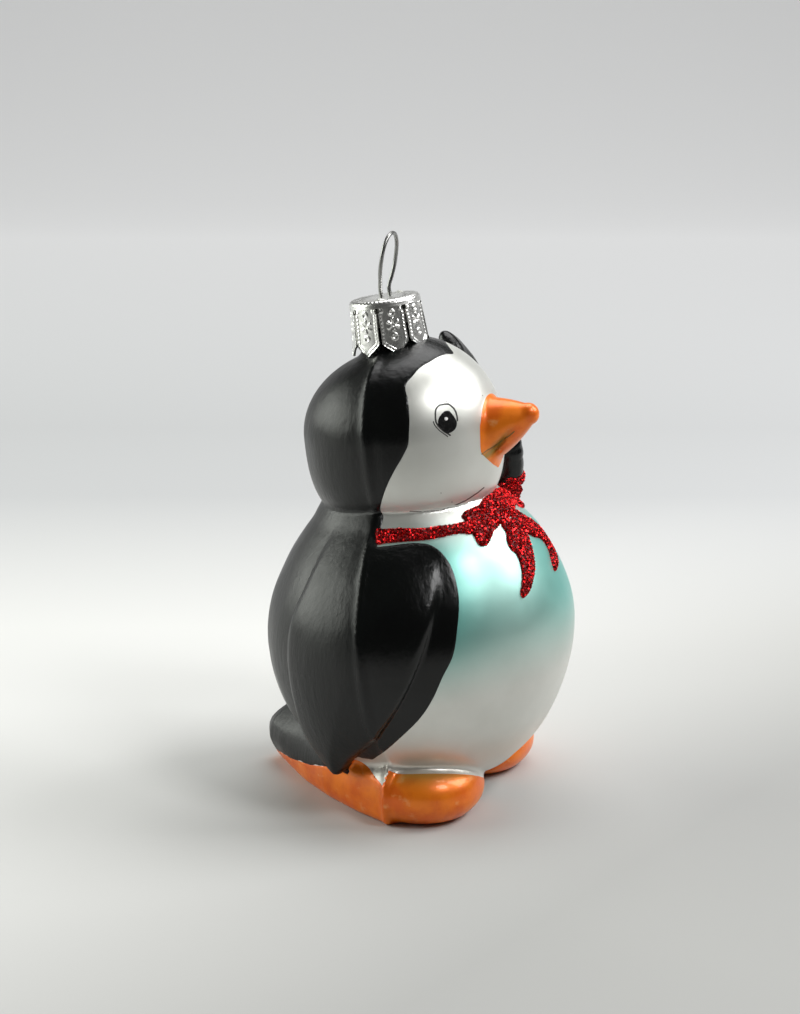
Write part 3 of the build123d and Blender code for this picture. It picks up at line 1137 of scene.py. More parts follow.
@dataclass(frozen=True)
class OrangeStain:
    """Translucent orange lacquer over silver, brushed on in uneven patches under clear gloss."""

    name: str = "orange_stain_on_silvered_glass"
    orange: str = "FF8410"
    deep: str = "EE6A06"
    amber: str = "A88A3A"
    pale: str = "FFA860"

    def build(self) -> Material:
        """The finished material.

        Returns:
            The material.
        """
        look = Look(self.name)
        clouds = look.ramp(look.noise(4.0, 5.0), 0.42, 0.62)
        body = look.mix(clouds, linear(self.orange), linear(self.deep))
        specks = look.ramp(look.noise(2.2, 3.0, (1.4, 1.0, 0.7)), 0.6, 0.75)
        body = look.mix(specks, body, linear(self.pale))
        body = look.mix(look.painted("stain"), body, linear(self.amber))
        return look.done({
            "Base Color": body, "Metallic": 0.3, "Roughness": 0.38, "Coat Weight": 0.3,
            "Coat Roughness": 0.07, "Normal": look.bump(look.noise(1.5, 3.0), 0.03)})


@dataclass(frozen=True)
class PlainPaint:
    """Hand-painted enamel line or dot, a little uneven where the brush left it thin."""

    name: str
    colour: str
    roughness: float = 0.3
    thin: str = "3A3A3A"

    def build(self) -> Material:
        """The finished material.

        Returns:
            The material.
        """
        look = Look(self.name)
        clouds = look.ramp(look.noise(0.6, 3.0), 0.4, 0.7, 0.0, 0.35)
        body = look.mix(clouds, linear(self.colour), linear(self.thin))
        return look.done({"Base Color": body, "Roughness": self.roughness})


@dataclass(frozen=True)
class GlitterFinish:
    """Metallised film flakes: each flake is a small mirror with its own tint."""

    name: str
    colour: str
    bright: str
    metallic: float = 1.0
    roughness: float = 0.25

    def build(self) -> Material:
        """The finished material.

        Returns:
            The material.
        """
        look = Look(self.name)
        tint = look.ramp(look.noise(0.35, 2.0), 0.35, 0.65)
        body = look.mix(tint, linear(self.colour), linear(self.bright))
        return look.done({"Base Color": body, "Metallic": self.metallic, "Roughness": self.roughness})


@dataclass(frozen=True)
class StampedMetal:
    """Bright metal, dulled in patches."""

    name: str
    colour: str
    roughness: float
    dull: str = "9A9A97"

    def build(self) -> Material:
        """The finished material.

        Returns:
            The material.
        """
        look = Look(self.name)
        patches = look.noise(1.2)
        body = look.mix(look.ramp(patches, 0.4, 0.7, 0.0, 0.5), linear(self.colour), linear(self.dull))
        rough = look.ramp(patches, 0.3, 0.7, self.roughness - 0.04, self.roughness + 0.08)
        return look.done({"Base Color": body, "Metallic": 1.0, "Roughness": rough})


# Paint


@dataclass(frozen=True)
class PhotoView:
    """The photograph's own view, in which brush strokes were measured in pixels."""

    place: Triple = (-336.09, -127.51, 144.0)
    tilt: float = 74.78
    heading: float = -68.22
    focal: float = 2357.0
    middle: Pair = (400.0, 507.0)
    pixels_each_mm: float = 6.3

    def pixels(self, p: Array) -> Array:
        """Places in the photograph of points of the standing figure.

        Args:
            p: Points in millimetres.

        Returns:
            Rows of column and row, in pixels.
        """
        tilt, heading = math.radians(self.tilt), math.radians(self.heading)
        right = np.array([math.cos(heading), math.sin(heading), 0.0])
        level = math.sin(tilt)
        ahead = np.array([-math.sin(heading) * level, math.cos(heading) * level, -math.cos(tilt)])
        up = np.cross(right, ahead)
        to = p - np.array(self.place)
        depth = to @ ahead
        column = self.middle[0] + self.focal * (to @ right) / depth
        row = self.middle[1] - self.focal * (to @ up) / depth
        return np.stack([column, row], 1)

    def facing(self, skin: Skin) -> Array:
        """Whether each point of a mesh faces the photograph's camera."""
        return (skin.normals() * (np.array(self.place) - skin.points)).sum(1) > 0

    def patch(self, outline: Table) -> Field:
        """Field of a painted patch whose outline was measured in the photograph."""
        corners = closed_curve(outline)
        return lambda p: -polygon_reach(self.pixels(p), corners) / self.pixels_each_mm

    def dot(self, place: Sequence[float], width: float) -> Field:
        """Field of a round dot at a place in the photograph, as wide as told in millimetres."""
        return self.stroke((place, (place[0] + 0.05, place[1])), width)

    def stroke(self, path: Table, width: float) -> Field:
        """Field of a painted line.

        Args:
            path: Places along the line, in pixels.
            width: Width of the line in millimetres.

        Returns:
            Signed distance, above 0 in the line.
        """
        corners = np.array(path, float)
        return lambda p: width / 2 - line_reach(self.pixels(p), corners)[0] / self.pixels_each_mm


def mirrored(inside: Field) -> Field:
    """The same field on the figure's other side."""
    return lambda p: inside(p * np.array([-1.0, 1.0, 1.0]))


def either(fields: Sequence[Field]) -> Field:
    """Field of several painted strokes together."""
    return lambda p: np.maximum.reduce([one(p) for one in fields])


@dataclass(frozen=True)
class PaintPlan:
    """Where each colour lies, as signed distances in millimetres that are above 0 under the paint."""

    form: GlassForm
    # A distance that stands for far from every edge.
    far: float = 9.0
    # Front edge of the hood by angle about the head, from the crown (0) down the side (90).
    hood_right: Table = (
        (-180, -1), (-60, -6.5), (-36, -6.6), (-14.5, -7.7), (-4, -9.2), (2.6, -10.4),
        (10, -9.9), (17.7, -9.3), (27.8, -8.5), (36.3, -7.5), (43.8, -6.9), (51.1, -6.25),
        (61.1, -6.9), (74, -7.3), (82.7, -7.2), (88.8, -7), (96.6, -5.9), (103.3, -4.6),
        (112.7, -2.9), (122, -1.5), (180, -1),
    )
    hood_left: Table = (
        (-180, -1), (-60, -7), (-30, -8.4), (-17, -9.3), (-2.6, -10.4), (4, -9.2),
        (14.5, -7.7), (36.3, -7.2), (51.1, -6.4), (74, -7.2), (88.8, -6.8), (103.3, -4.8),
        (122, -1.6), (180, -1),
    )
    # Start and length of the height in which the body's edge hands over to the hood's.
    hood_blend: Pair = (47.8, 1.6)
    # Front edge of the black on the body by height: right side with the folded wing, left side.
    flank_right: Table = (
        (5, 5.5), (10.6, 2.2), (12.4, -0.4), (15.1, -3.8), (18.5, -7.6), (21.7, -10),
        (24.7, -11.6), (27.6, -13.2), (31.9, -14), (36, -14), (39.5, -13), (42.3, -11.6),
        (46, -9.5),
    )
    flank_left: Table = (
        (5, 6), (12, 0.5), (20, -2.5), (30, -3.8), (38, -4), (46, -2), (52, -1.6),
    )
    # Edge at the throat, and the height from which it holds.
    throat_edge: float = -1.6
    throat_level: float = 42.0
    # Top edge of the black on the wing's front panel, and how round its corner is.
    patch_top: Table = ((-16, 40.5), (-12, 42.6), (-9, 43.8), (-1.5, 44.25), (2, 44.3))
    patch_rounding: float = 2.2
    # Raised and folded wing: gap to the body's surface, depth of the paint and its heights.
    wing_gap: float = 0.1
    wing_paint: float = 0.9
    wing_heights: Pair = (7.0, 40.0)
    # Lower edge of the black and top edge of the orange over the stand, by place behind the axis.
    black_foot: Table = (
        (-6, 12.6), (-2, 12.2), (-0.6, 12), (0.6, 10.4), (4, 10.2), (7, 9.6), (9.5, 8),
        (12.5, 6.3), (17, 4.6), (22, 3.3), (27, 2.3), (32, 1.9),
    )
    orange_top: Table = (
        (-0.5, 6.6), (0.5, 6.6), (2.5, 7.3), (5, 8.6), (7, 9.2), (9.5, 8), (12.5, 6.3),
        (17, 4.6), (22, 3.3), (27, 2.3), (32, 1.9),
    )
    # How far the orange runs up the belly, its top in front, and where front and rear part.
    orange_depth: float = 1.35
    orange_front: float = 9.8
    seam_y: float = 0.75
    # Top of the black on the neck, the bare rim inside it and where that begins.
    collar_top: float = 5.6
    bare_rim: float = 0.3
    rim_low: float = -4.0
    # How far the beak's paint reaches onto the face, over its top and under the height given.
    beak_margin: float = 1.9
    beak_top_margin: float = 0.5
    beak_top_fade: Triple = (6.0, 60.5, 3.0)
    # Airbrushed chest: where it fades in and out by height, and its two clouds by angle.
    mist_low: Pair = (19.0, 14.0)
    mist_high: Pair = (48.0, 7.0)
    mist_clouds: Table = ((66, 22), (-18, 34))
    mist_least: float = 0.55
    mist_side: Pair = (115.0, 30.0)
    # Painted reflection of the orange base on the white just above it: share, height and half height, and
    # where it fades out behind.
    reflection_share: float = 0.16
    reflection_band: Pair = (10.5, 3.0)
    reflection_back: Pair = (8.0, 4.0)
    # Edge of the beak's paint where it runs onto the face, in pixels of the photograph.
    beak_outline: Table = (
        (484.5, 393.5), (482, 402), (480.5, 414), (480, 428), (480.3, 442), (481, 452),
        (484.5, 456.5), (490, 461.5), (496, 466), (512, 472), (556, 440), (556, 391),
        (524, 380), (500, 380), (488, 384),
    )

    def hood(self, q: Array) -> Array:
        """Black on the head.

        Args:
            q: Upright points.

        Returns:
            Signed distances, above 0 under the paint.
        """
        to = q - np.array(self.form.head_centre)
        angle = np.degrees(np.arctan2(-to[:, 0], to[:, 2]))
        right = glide(angle, self.hood_right)
        left = glide(-angle, self.hood_left)
        return q[:, 1] - np.where(to[:, 0] < 0, right, left)

    def flanks(self, p: Array, q: Array) -> Array:
        """Black on the back, the flanks and the folded wing.

        Args:
            p: Standing points.
            q: The same points, upright.

        Returns:
            Signed distances, above 0 under the paint.
        """
        top = glide(q[:, 1], self.patch_top) - q[:, 2]
        patch = smooth_min(q[:, 1] - glide(q[:, 2], self.flank_right), top, self.patch_rounding)
        back = np.where(q[:, 2] < self.throat_level, -self.far, q[:, 1] - self.throat_edge)
        right = np.maximum(patch, back)
        left = q[:, 1] - glide(q[:, 2], self.flank_left)
        side = np.where(q[:, 0] < 0, right, left)
        ragged = 0.13 * np.sin(p[:, 1] * 1.3) + 0.08 * np.sin(p[:, 1] * 3.1 + 1.0)
        return np.minimum(side, p[:, 2] - glide(p[:, 1], self.black_foot) - ragged)

    def black(self, p: Array) -> Array:
        """Hood, back, both wings and the neck.

        Args:
            p: Standing points.

        Returns:
            Signed distances, above 0 under the paint.
        """
        q = self.form.upright(p)
        high = rise(q[:, 2], *self.hood_blend)
        skin = self.flanks(p, q) * (1 - high) + self.hood(q) * high
        raised = np.full(len(p), -self.far)
        near = self.form.near_raised_wing(q)
        if near.any():
            body = self.form.without_raised_wing(p[near])
            raised[near] = body - self.form.raised.reach(q[near]) - self.wing_gap
        wing = self.form.folded_wing(q)
        folded = np.minimum(self.form.torso(q) - wing - self.wing_gap, self.wing_paint - wing)
        low, top = self.wing_heights
        folded = np.where((q[:, 2] < top) & (q[:, 2] > low), folded, -self.far)
        neck = self.form.neck_frame(q)
        rim = np.hypot(neck[:, 0], neck[:, 1]) - self.form.bore_radius - self.bare_rim
        out = np.maximum(np.maximum(skin, raised), folded)
        out = np.minimum(out, np.where(neck[:, 2] > self.rim_low, rim * 2, self.far))
        return np.minimum(out, self.collar_top - neck[:, 2])

    def beak(self, p: Array) -> Array:
        """Orange of the beak.

        Args:
            p: Standing points.

        Returns:
            Signed distances, above 0 under the paint.
        """
        side = p * np.array([-1.0, 1.0, 1.0])
        near = np.where(p[:, :1] > 0, side, p)
        patch = PhotoView().patch(self.beak_outline)(near)
        q = self.form.upright(p)
        beak = self.form.beak(q)
        depth, level, fade = self.beak_top_fade
        top = self.form.head(q) - beak + self.beak_top_margin + depth * fall(q[:, 2], level, fade)
        return np.minimum(np.minimum(patch, self.beak_margin - beak), top)

    def feet(self, p: Array) -> Array:
        """Orange of the feet and the base.

        Args:
            p: Standing points.

        Returns:
            Signed distances, above 0 under the paint.
        """
        q = self.form.upright(p)
        belly = self.form.belly(q) - self.orange_depth
        front = np.minimum(belly, self.orange_front - p[:, 2])
        rear = glide(p[:, 1], self.orange_top) - p[:, 2]
        return np.where(p[:, 1] < self.seam_y, front, rear)

    def chest_mist(self, p: Array) -> Array:
        """Share of the airbrushed turquoise at each point.

        Args:
            p: Standing points.

        Returns:
            Shares from 0 to 1.
        """
        q = self.form.upright(p)
        around = np.degrees(np.arctan2(-q[:, 0], -q[:, 1]))
        height = rise(q[:, 2], *self.mist_low) * fall(q[:, 2], *self.mist_high)
        clouds = np.minimum(1.0, sum(hill(around, *cloud) for cloud in self.mist_clouds))
        sides = self.mist_least + (1 - self.mist_least) * clouds
        return height * sides * fall(np.abs(around), *self.mist_side)

    def painted_orange_reflection(self, p: Array) -> Array:
        """Share of orange painted on the white just above the base, a painted reflection of the orange base.
        """
        return self.reflection_share * hill(p[:, 2], *self.reflection_band) * fall(p[:, 1], *self.reflection_back)


# Sub-assemblies


def dress(piece: Object, material: Material, body: Body,
          nodes: Sequence[str] = ()) -> Object:
    """Gives a piece its material, its body and the nodes that it stands for.

    Args:
        piece: The finished object.
        material: Its material.
        body: Body that it rides on.
        nodes: Nodes of the construction that it replaces.

    Returns:
        The same object.
    """
    if not piece.data.materials:
        piece.data.materials.append(material)
    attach(piece, body.value)
    if nodes:
        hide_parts(*nodes)
    LOG.info("%s: %d faces", piece.name, len(piece.data.polygons))
    return piece


@dataclass
class GlassFigure:
    """The blown figure with its four lacquers."""

    form: GlassForm = field(default_factory=GlassForm)
    cell: float = 0.5
    room_low: Triple = (-28.5, -25.5, -1.5)
    room_high: Triple = (28.5, 32.5, 81.5)
    coat_height: float = 0.05
    coat_edge: float = 0.12
    # Room round a painted patch that is cut out before its edge is.
    margin: float = 1.5
    # How far off the bore the outside begins.
    outside_gap: float = 0.4
    # Amber stain on the feet: height and half height, and where it fades out behind.
    stain_band: Pair = (9.3, 1.6)
    stain_back: Pair = (-0.5, 1.5)
    mouth_stain: float = 1.3

    def build(self) -> Skin:
        """Builds and dresses the glass and its coats.

        Returns:
            The figure's outer surface, without the bore.
        """
        plan = PaintPlan(self.form)
        skin = Skin.net(self.form.reach, self.room_low, self.room_high, self.cell).settled()
        glass = mesh_object("pearl_glass_figure", skin.points, skin.faces)
        paint_value(glass, "chest_mist", plan.chest_mist(skin.points))
        # Painted reflection of the orange base, as a share at each point.
        paint_value(glass, "painted_orange_reflection", plan.painted_orange_reflection(skin.points))
        dress(glass, PearlLacquer().build(), Body.ORNAMENT, ["glass_body", "pearl_lacquer"])
        outer = skin.part(self.form.hollow(self.form.upright(skin.points)) > self.outside_gap)
        black = self.coat(outer, "black_lacquer_coat", plan.black)
        paint_value(black, "dull", self.dullness(black))
        dress(black, BrushedBlackLacquer().build(), Body.ORNAMENT, ["black_lacquer"])
        orange = OrangeStain().build()
        feet = self.coat(outer, "feet_lacquer_coat", plan.feet)
        points = self.points_of(feet)
        stain = hill(points[:, 2], *self.stain_band) * fall(points[:, 1], *self.stain_back)
        paint_value(feet, "stain", stain)
        dress(feet, orange, Body.ORNAMENT, ["feet_lacquer"])
        beak = self.coat(outer, "beak_lacquer_coat", plan.beak)
        points = self.form.upright(self.points_of(beak))
        paint_value(beak, "stain", np.clip(self.form.mouth(points) * self.mouth_stain, 0, 1))
        dress(beak, orange, Body.ORNAMENT, ["beak_lacquer"])
        return outer

    def points_of(self, piece: Object) -> Array:
        """Points of a piece in millimetres.

        Args:
            piece: Object at the origin.

        Returns:
            Rows of x, y and z.
        """
        points = np.zeros(len(piece.data.vertices) * 3)
        piece.data.vertices.foreach_get("co", points)
        return points.reshape(-1, 3) / MM

    def coat(self, skin: Skin, name: str, inside: Field) -> Object:
        """One lacquer coat as a closed piece, not yet dressed."""
        region = skin.near(inside, self.margin)
        return mesh_object(name, *region.coat(inside, self.coat_height, self.coat_edge))

    def dullness(self, piece: Object) -> Array:
        """How dull the black is: more behind the seam than in front of it."""
        q = self.form.upright(self.points_of(piece))
        return ease((q[:, 1] + 1.0) / 2.0)


def paint_on(skin: Skin, name: str, inside: Field, height: float, material: Material,
             nodes: Sequence[str] = ()) -> None:
    """Lays one dot or line of enamel on the figure.

    Args:
        skin: Fine mesh of the surface round it.
        name: Name of the piece.
        inside: Field of the paint.
        height: Height of the paint over the surface, in millimetres.
        material: Its paint.
        nodes: Nodes of the construction that it replaces.
    """
    shape = skin.near(inside, PAINT_MARGIN).coat(inside, height, PAINT_EDGE)
    dress(mesh_object(name, *shape), material, Body.ORNAMENT, nodes)


@dataclass
class PaintedEyes:
    """Both painted eyes: a glossy pupil, thin brush lines round it and a white dot that is a painted
    highlight, the pupil's glint.
    """

    view: PhotoView = field(default_factory=PhotoView)
    # Measured on the right eye, in pixels of the photograph.
    pupil: Table = (
        (438.1, 423.3), (438.6, 418.8), (441.1, 414.6), (444.2, 411.4), (448.1, 410.7), (450.2, 411.8),
        (453.3, 415.6), (455.8, 419.5), (456.8, 422.6), (456.5, 426.1), (454.7, 429.6), (451.6, 432.1),
        (447.7, 433.4), (444.6, 432.1), (441.1, 428.6), (438.6, 425.8),
    )
    oval: Table = (
        (457.4, 420.5), (457, 416), (455.8, 411.8), (453.7, 408.2), (450.2, 405.1), (448.1, 404),
        (444.2, 404.2), (439.6, 405.1), (437.2, 407.2), (435.8, 409.6), (435.3, 412.8), (435.4, 418.1),
        (436.1, 422.3), (438.2, 425.8), (441.1, 428.9), (444.6, 431.8), (447.7, 433.5), (450.2, 435.3),
    )
    oval_width: float = 0.25
    outer_line: Table = (
        (433.3, 421.6), (434.4, 424.6), (435.8, 426.5), (439.6, 430.7), (443.2, 433.2), (447.7, 436.5),
    )
    outer_width: float = 0.17
    brow: Table = ((436.8, 404.4), (439.6, 401.6), (442, 400.6), (444.2, 400.4), (447.4, 402.3))
    brow_width: float = 0.08
    # White dot on the pupil, a painted highlight that stands for its glint.
    dot: Pair = (446.0, 418.8)
    glint_width: float = 0.6
    # Heights of the three paints over the surface.
    pupil_height: float = 0.05
    line_height: float = 0.025
    glint_height: float = 0.08
    finer: int = 3
    # Nearest to the middle, furthest back and lowest place at which the face is searched.
    face_room: Triple = (2.0, 2.0, 52.0)
    margin: float = 1.2

    def build(self, skin: Skin) -> None:
        """Paints both eyes on the figure's surface.

        Args:
            skin: The figure's surface.
        """
        black = PlainPaint("glossy_black_eye_enamel", "141414", 0.16).build()
        line = PlainPaint("thin_black_eye_line", "2A2A28", 0.35).build()
        # The white dot is a painted highlight: the glint on the pupil.
        white = PlainPaint("white_enamel_painted_glint", "F8F8F6", 0.3).build()
        pupil = self.view.patch(self.pupil)
        dot = self.view.dot(self.dot, self.glint_width)
        lines = either([
            self.view.stroke(self.oval, self.oval_width),
            self.view.stroke(self.outer_line, self.outer_width),
            self.view.stroke(self.brow, self.brow_width),
        ])
        x, y, z = skin.points.T
        inner, back, low = self.face_room
        for side, label in ((-1, "right"), (1, "left")):
            face = skin.part((x * side > inner) & (y < back) & (z > low))
            turn = (lambda inside: inside) if side < 0 else mirrored
            near = face.near(turn(self.view.patch(self.oval)), self.margin).finer(self.finer)
            paint_on(near, f"eye_{label}_pupil", turn(pupil), self.pupil_height, black, [f"eye_{label}"])
            paint_on(near, f"eye_{label}_lines", turn(lines), self.line_height, line)
            # Painted highlight: the glint on the pupil.
            paint_on(near, f"eye_{label}_dot", turn(dot), self.glint_height, white)


@dataclass
class FineMarks:
    """Thin dark line painted as shade in the crease under the chin, specks of stray paint and the stain in
    the mouth.
    """

    view: PhotoView = field(default_factory=PhotoView)
    # Lines and specks in pixels of the photograph.
    # The crease line is painted shade, a dark line in the crease under the chin.
    crease: Table = (
        (410, 511.2), (423.7, 511.8), (440, 510.8), (453.5, 506), (466, 500.5), (478, 492.5),
        (484, 487.5),
    )
    crease_width: float = 0.17
    mouth: Table = (
        (482, 454), (487, 450), (494, 446), (502, 440.5), (509, 436), (514, 431.5),
    )
    mouth_width: float = 0.22
    specks: Table = ((441, 493), (482.5, 395.5), (452, 502))
    speck_width: float = 0.17
    crease_shade_and_speck_height: float = 0.02
    mouth_height: float = 0.09
    # Furthest left, furthest back and lowest place at which the face is searched.
    face_room: Triple = (6.0, 2.0, 42.0)
    margin: float = 0.9
    finer: int = 2

    def build(self, skin: Skin) -> None:
        """Lays the marks on the figure's surface.

        Args:
            skin: The figure's surface.
        """
        # Painted shade in the chin's crease, on one piece with the specks of stray paint.
        stain = PlainPaint("painted_crease_shade_and_specks", "4A3430", 0.45).build()
        marks = [self.view.stroke(self.crease, self.crease_width)]
        marks += [self.view.dot(speck, self.speck_width) for speck in self.specks]
        lips = self.view.stroke(self.mouth, self.mouth_width)
        x, y, z = skin.points.T
        left, back, low = self.face_room
        face = skin.part(self.view.facing(skin) & (y < back) & (z > low) & (x < left))
        near = face.near(either(marks), self.margin).finer(self.finer)
        paint_on(near, "crease_line", either(marks), self.crease_shade_and_speck_height, stain)
        olive = PlainPaint("olive_stain_in_the_mouth", "8A6A22", 0.35).build()
        near = face.near(lips, self.margin).finer(self.finer)
        paint_on(near, "mouth_line", lips, self.mouth_height, olive)


@dataclass
class GlitterBow:
    """Ribbon and bow of red glitter: thick strokes of glue under flakes of metallised film."""

    view: PhotoView = field(default_factory=PhotoView)
    # Strokes in pixels of the photograph; right and left are the bird's own.
    band: Table = (
        (377, 530.2), (386, 529.6), (400, 528.6), (420, 528.8), (440, 526.2), (454, 524.6),
        (468, 521), (476, 523), (473, 533.6), (459, 533.4), (440, 537.4), (420, 540.4),
        (400, 541.9), (386, 543), (377, 543.6),
    )
    loop_right: Table = (
        (461.5, 516.5), (466.8, 510.7), (478.3, 505.9), (484, 498.4), (491.7, 493.5), (499, 498),
        (503, 510), (501.2, 521), (497.4, 527), (493.6, 530.8), (490.7, 538.5), (487.8, 544.2),
        (483.1, 546.1), (478.3, 544.2), (475.4, 538.5), (472.5, 533.7), (467.5, 527.5), (464.4, 519.8),
    )
    knot: Table = (
        (491.4, 496), (494, 490.1), (499.3, 488.7), (505, 490.6), (509.9, 495.4), (514, 503),
        (514.6, 508), (512, 514), (507, 519.5), (501.2, 524.1), (496, 519), (491, 508),
    )
    loop_left: Table = (
        (507.5, 479), (510.5, 477.5), (515.6, 479.1), (522.3, 489.7), (524.7, 498.3), (524.2, 506.9),
        (519.4, 506.9), (514.6, 503.5), (510.6, 500), (509.9, 494.4), (508.4, 485.8), (506, 480.1),
    )
    tail_right: Table = (
        (501.2, 524.1), (506, 532.7), (507, 541.3), (510.8, 549), (516.6, 554.7), (520.4, 564.3),
        (522.3, 574.8), (521.3, 587.3), (520.4, 593), (523.3, 597.8), (529, 591.1), (532.8, 577.7),
        (534.3, 567.2), (532.8, 555.7), (530, 544.2), (525.2, 532.7), (516.6, 527.9), (508.9, 519.2),
    )
    tail_left: Table = (
        (511.8, 511.6), (512.7, 522.2), (521.3, 528.9), (530.9, 535.6), (541.4, 539.4), (548.1, 550),
        (552, 564.3), (554.8, 571), (557.2, 563.3), (554.8, 552.8), (550, 543.3), (540.5, 528.9),
        (530.9, 520.3), (521.3, 514.5), (515.6, 510.6),
    )
    bed_height: float = 0.42
    bed_edge: float = 0.4
    grain: float = 0.12
    # Furthest back, and lowest and highest place at which the front is searched; then the left side.
    front_room: Triple = (5.0, 28.0, 56.0)
    left_room: Triple = (5.0, 38.0, 50.0)
    # Gap of the knot's edge to the strokes beside it, and room round a stroke before it is cut.
    knot_lap: float = 0.12
    margins: Pair = (1.2, 0.5)
    # Half width and half thickness of a flake as shares of its size.
    flake_size: float = 0.185
    flake_thickness: float = 0.14
    flakes_each_mm: float = 24.0
    seed: int = 11

    def build(self, skin: Skin) -> None:
        """Lays every stroke on the figure's surface and strews the flakes.

        Args:
            skin: The figure's surface.
        """
        glue = GlitterFinish("red_glitter_in_clear_glue", "4A0508", "7E0A10", 0.3, 0.5).build()
        film = GlitterFinish("red_metallised_film_flakes", "9A0A12", "DE2A2A", 1.0, 0.2).build()
        x, y, z = skin.points.T
        back, low, high = self.front_room
        front = skin.part(self.view.facing(skin) & (y < back) & (z > low) & (z < high))
        back, low, high = self.left_room
        left = skin.part((x > 0.0) & (y < back) & (z > low) & (z < high))
        knot = self.view.patch(self.knot)
        band = self.view.patch(self.band)
        strokes = (
            ("bow_knot", front, knot),
            ("bow_loop_right", front, self.beside(self.loop_right, knot)),
            ("bow_loop_left", front, self.beside(self.loop_left, knot)),
            ("bow_tail_right", front, self.beside(self.tail_right, knot)),
            ("bow_tail_left", front, self.beside(self.tail_left, knot)),
            ("ribbon_band_right", front, band),
            ("ribbon_band_left", left, mirrored(band)),
        )
        self.strew([self.bed(ground, node, inside, glue) for node, ground, inside in strokes], film)

    def beside(self, outline: Table, knot: Field) -> Field:
        """Field of a stroke that stops where the knot begins."""
        patch = self.view.patch(outline)
        return lambda p: np.minimum(patch(p), self.knot_lap - knot(p))

    def rough(self, p: Array) -> Array:
        """Lumps of the glue: extra height at each point, in millimetres.

        Args:
            p: Standing points.

        Returns:
            Heights, also below 0.
        """
        x, y, z = p.T
        wave = np.sin(x * 11.3 + 2 * np.sin(z * 7.7)) * np.sin(z * 12.1 + np.sin(y * 9.1))
        return wave * self.grain

    def bed(self, ground: Skin, node: str, inside: Field, material: Material) -> Object:
        """One thick, rough stroke.

        Args:
            ground: Part of the surface on which it lies.
            node: Node of the construction that it replaces, and the piece's own name.
            inside: Field of the stroke.
            material: Its glue.

        Returns:
            The dressed stroke.
        """
        near = ground.near(inside, self.margins[0]).finer(1)
        region = near.near(inside, self.margins[1])
        shape = region.coat(inside, self.bed_height, self.bed_edge, grain=self.rough)
        return dress(mesh_object(f"glitter_{node}", *shape), material, Body.ORNAMENT, [node])

    def strew(self, beds: Sequence[Object], material: Material) -> None:
        """Strews flakes on all the strokes.

        Args:
            beds: The strokes of glue.
            material: Material of the flakes.
        """
        ring = ((1.0, 0.0), (0.0, 1.0), (-1.0, 0.0), (0.0, -1.0))
        thick = self.flake_thickness
        points = np.array([(x, y, z) for z in (-thick, thick) for x, y in ring]) * self.flake_size
        faces = [(0, 2, 1), (0, 3, 2), (4, 5, 6), (4, 6, 7)]
        for k in range(4):
            n = (k + 1) % 4
            faces += [(k, n, n + 4), (k, n + 4, k + 4)]
        flake = mesh_object("flake_form", points, np.array(faces))
        joined = linked("flake_ground", self.merged(beds))
        made = scatter_on(joined, flake, "glitter_flakes", material, self.flakes_each_mm, self.seed)
        for spare in (flake, joined):
            bpy.data.objects.remove(spare)
        dress(made, material, Body.ORNAMENT)

    def merged(self, beds: Sequence[Object]) -> Mesh:
        """One mesh with the faces of all the strokes.

        Args:
            beds: The strokes of glue.

        Returns:
            The mesh, in metres.
        """
        points, faces, start = [], [], 0
        for bed in beds:
            points += [tuple(vertex.co) for vertex in bed.data.vertices]
            faces += [[index + start for index in face.vertices] for face in bed.data.polygons]
            start = len(points)
        mesh = bpy.data.meshes.new("flake_ground")
        mesh.from_pydata(points, [], faces)
        return mesh


def group_input(tree: NodeTree, name: str, kind: str) -> str:
    """Adds a named input to a Geometry Nodes group and returns its identifier."""
    return tree.interface.new_socket(name, in_out="INPUT", socket_type=kind).identifier


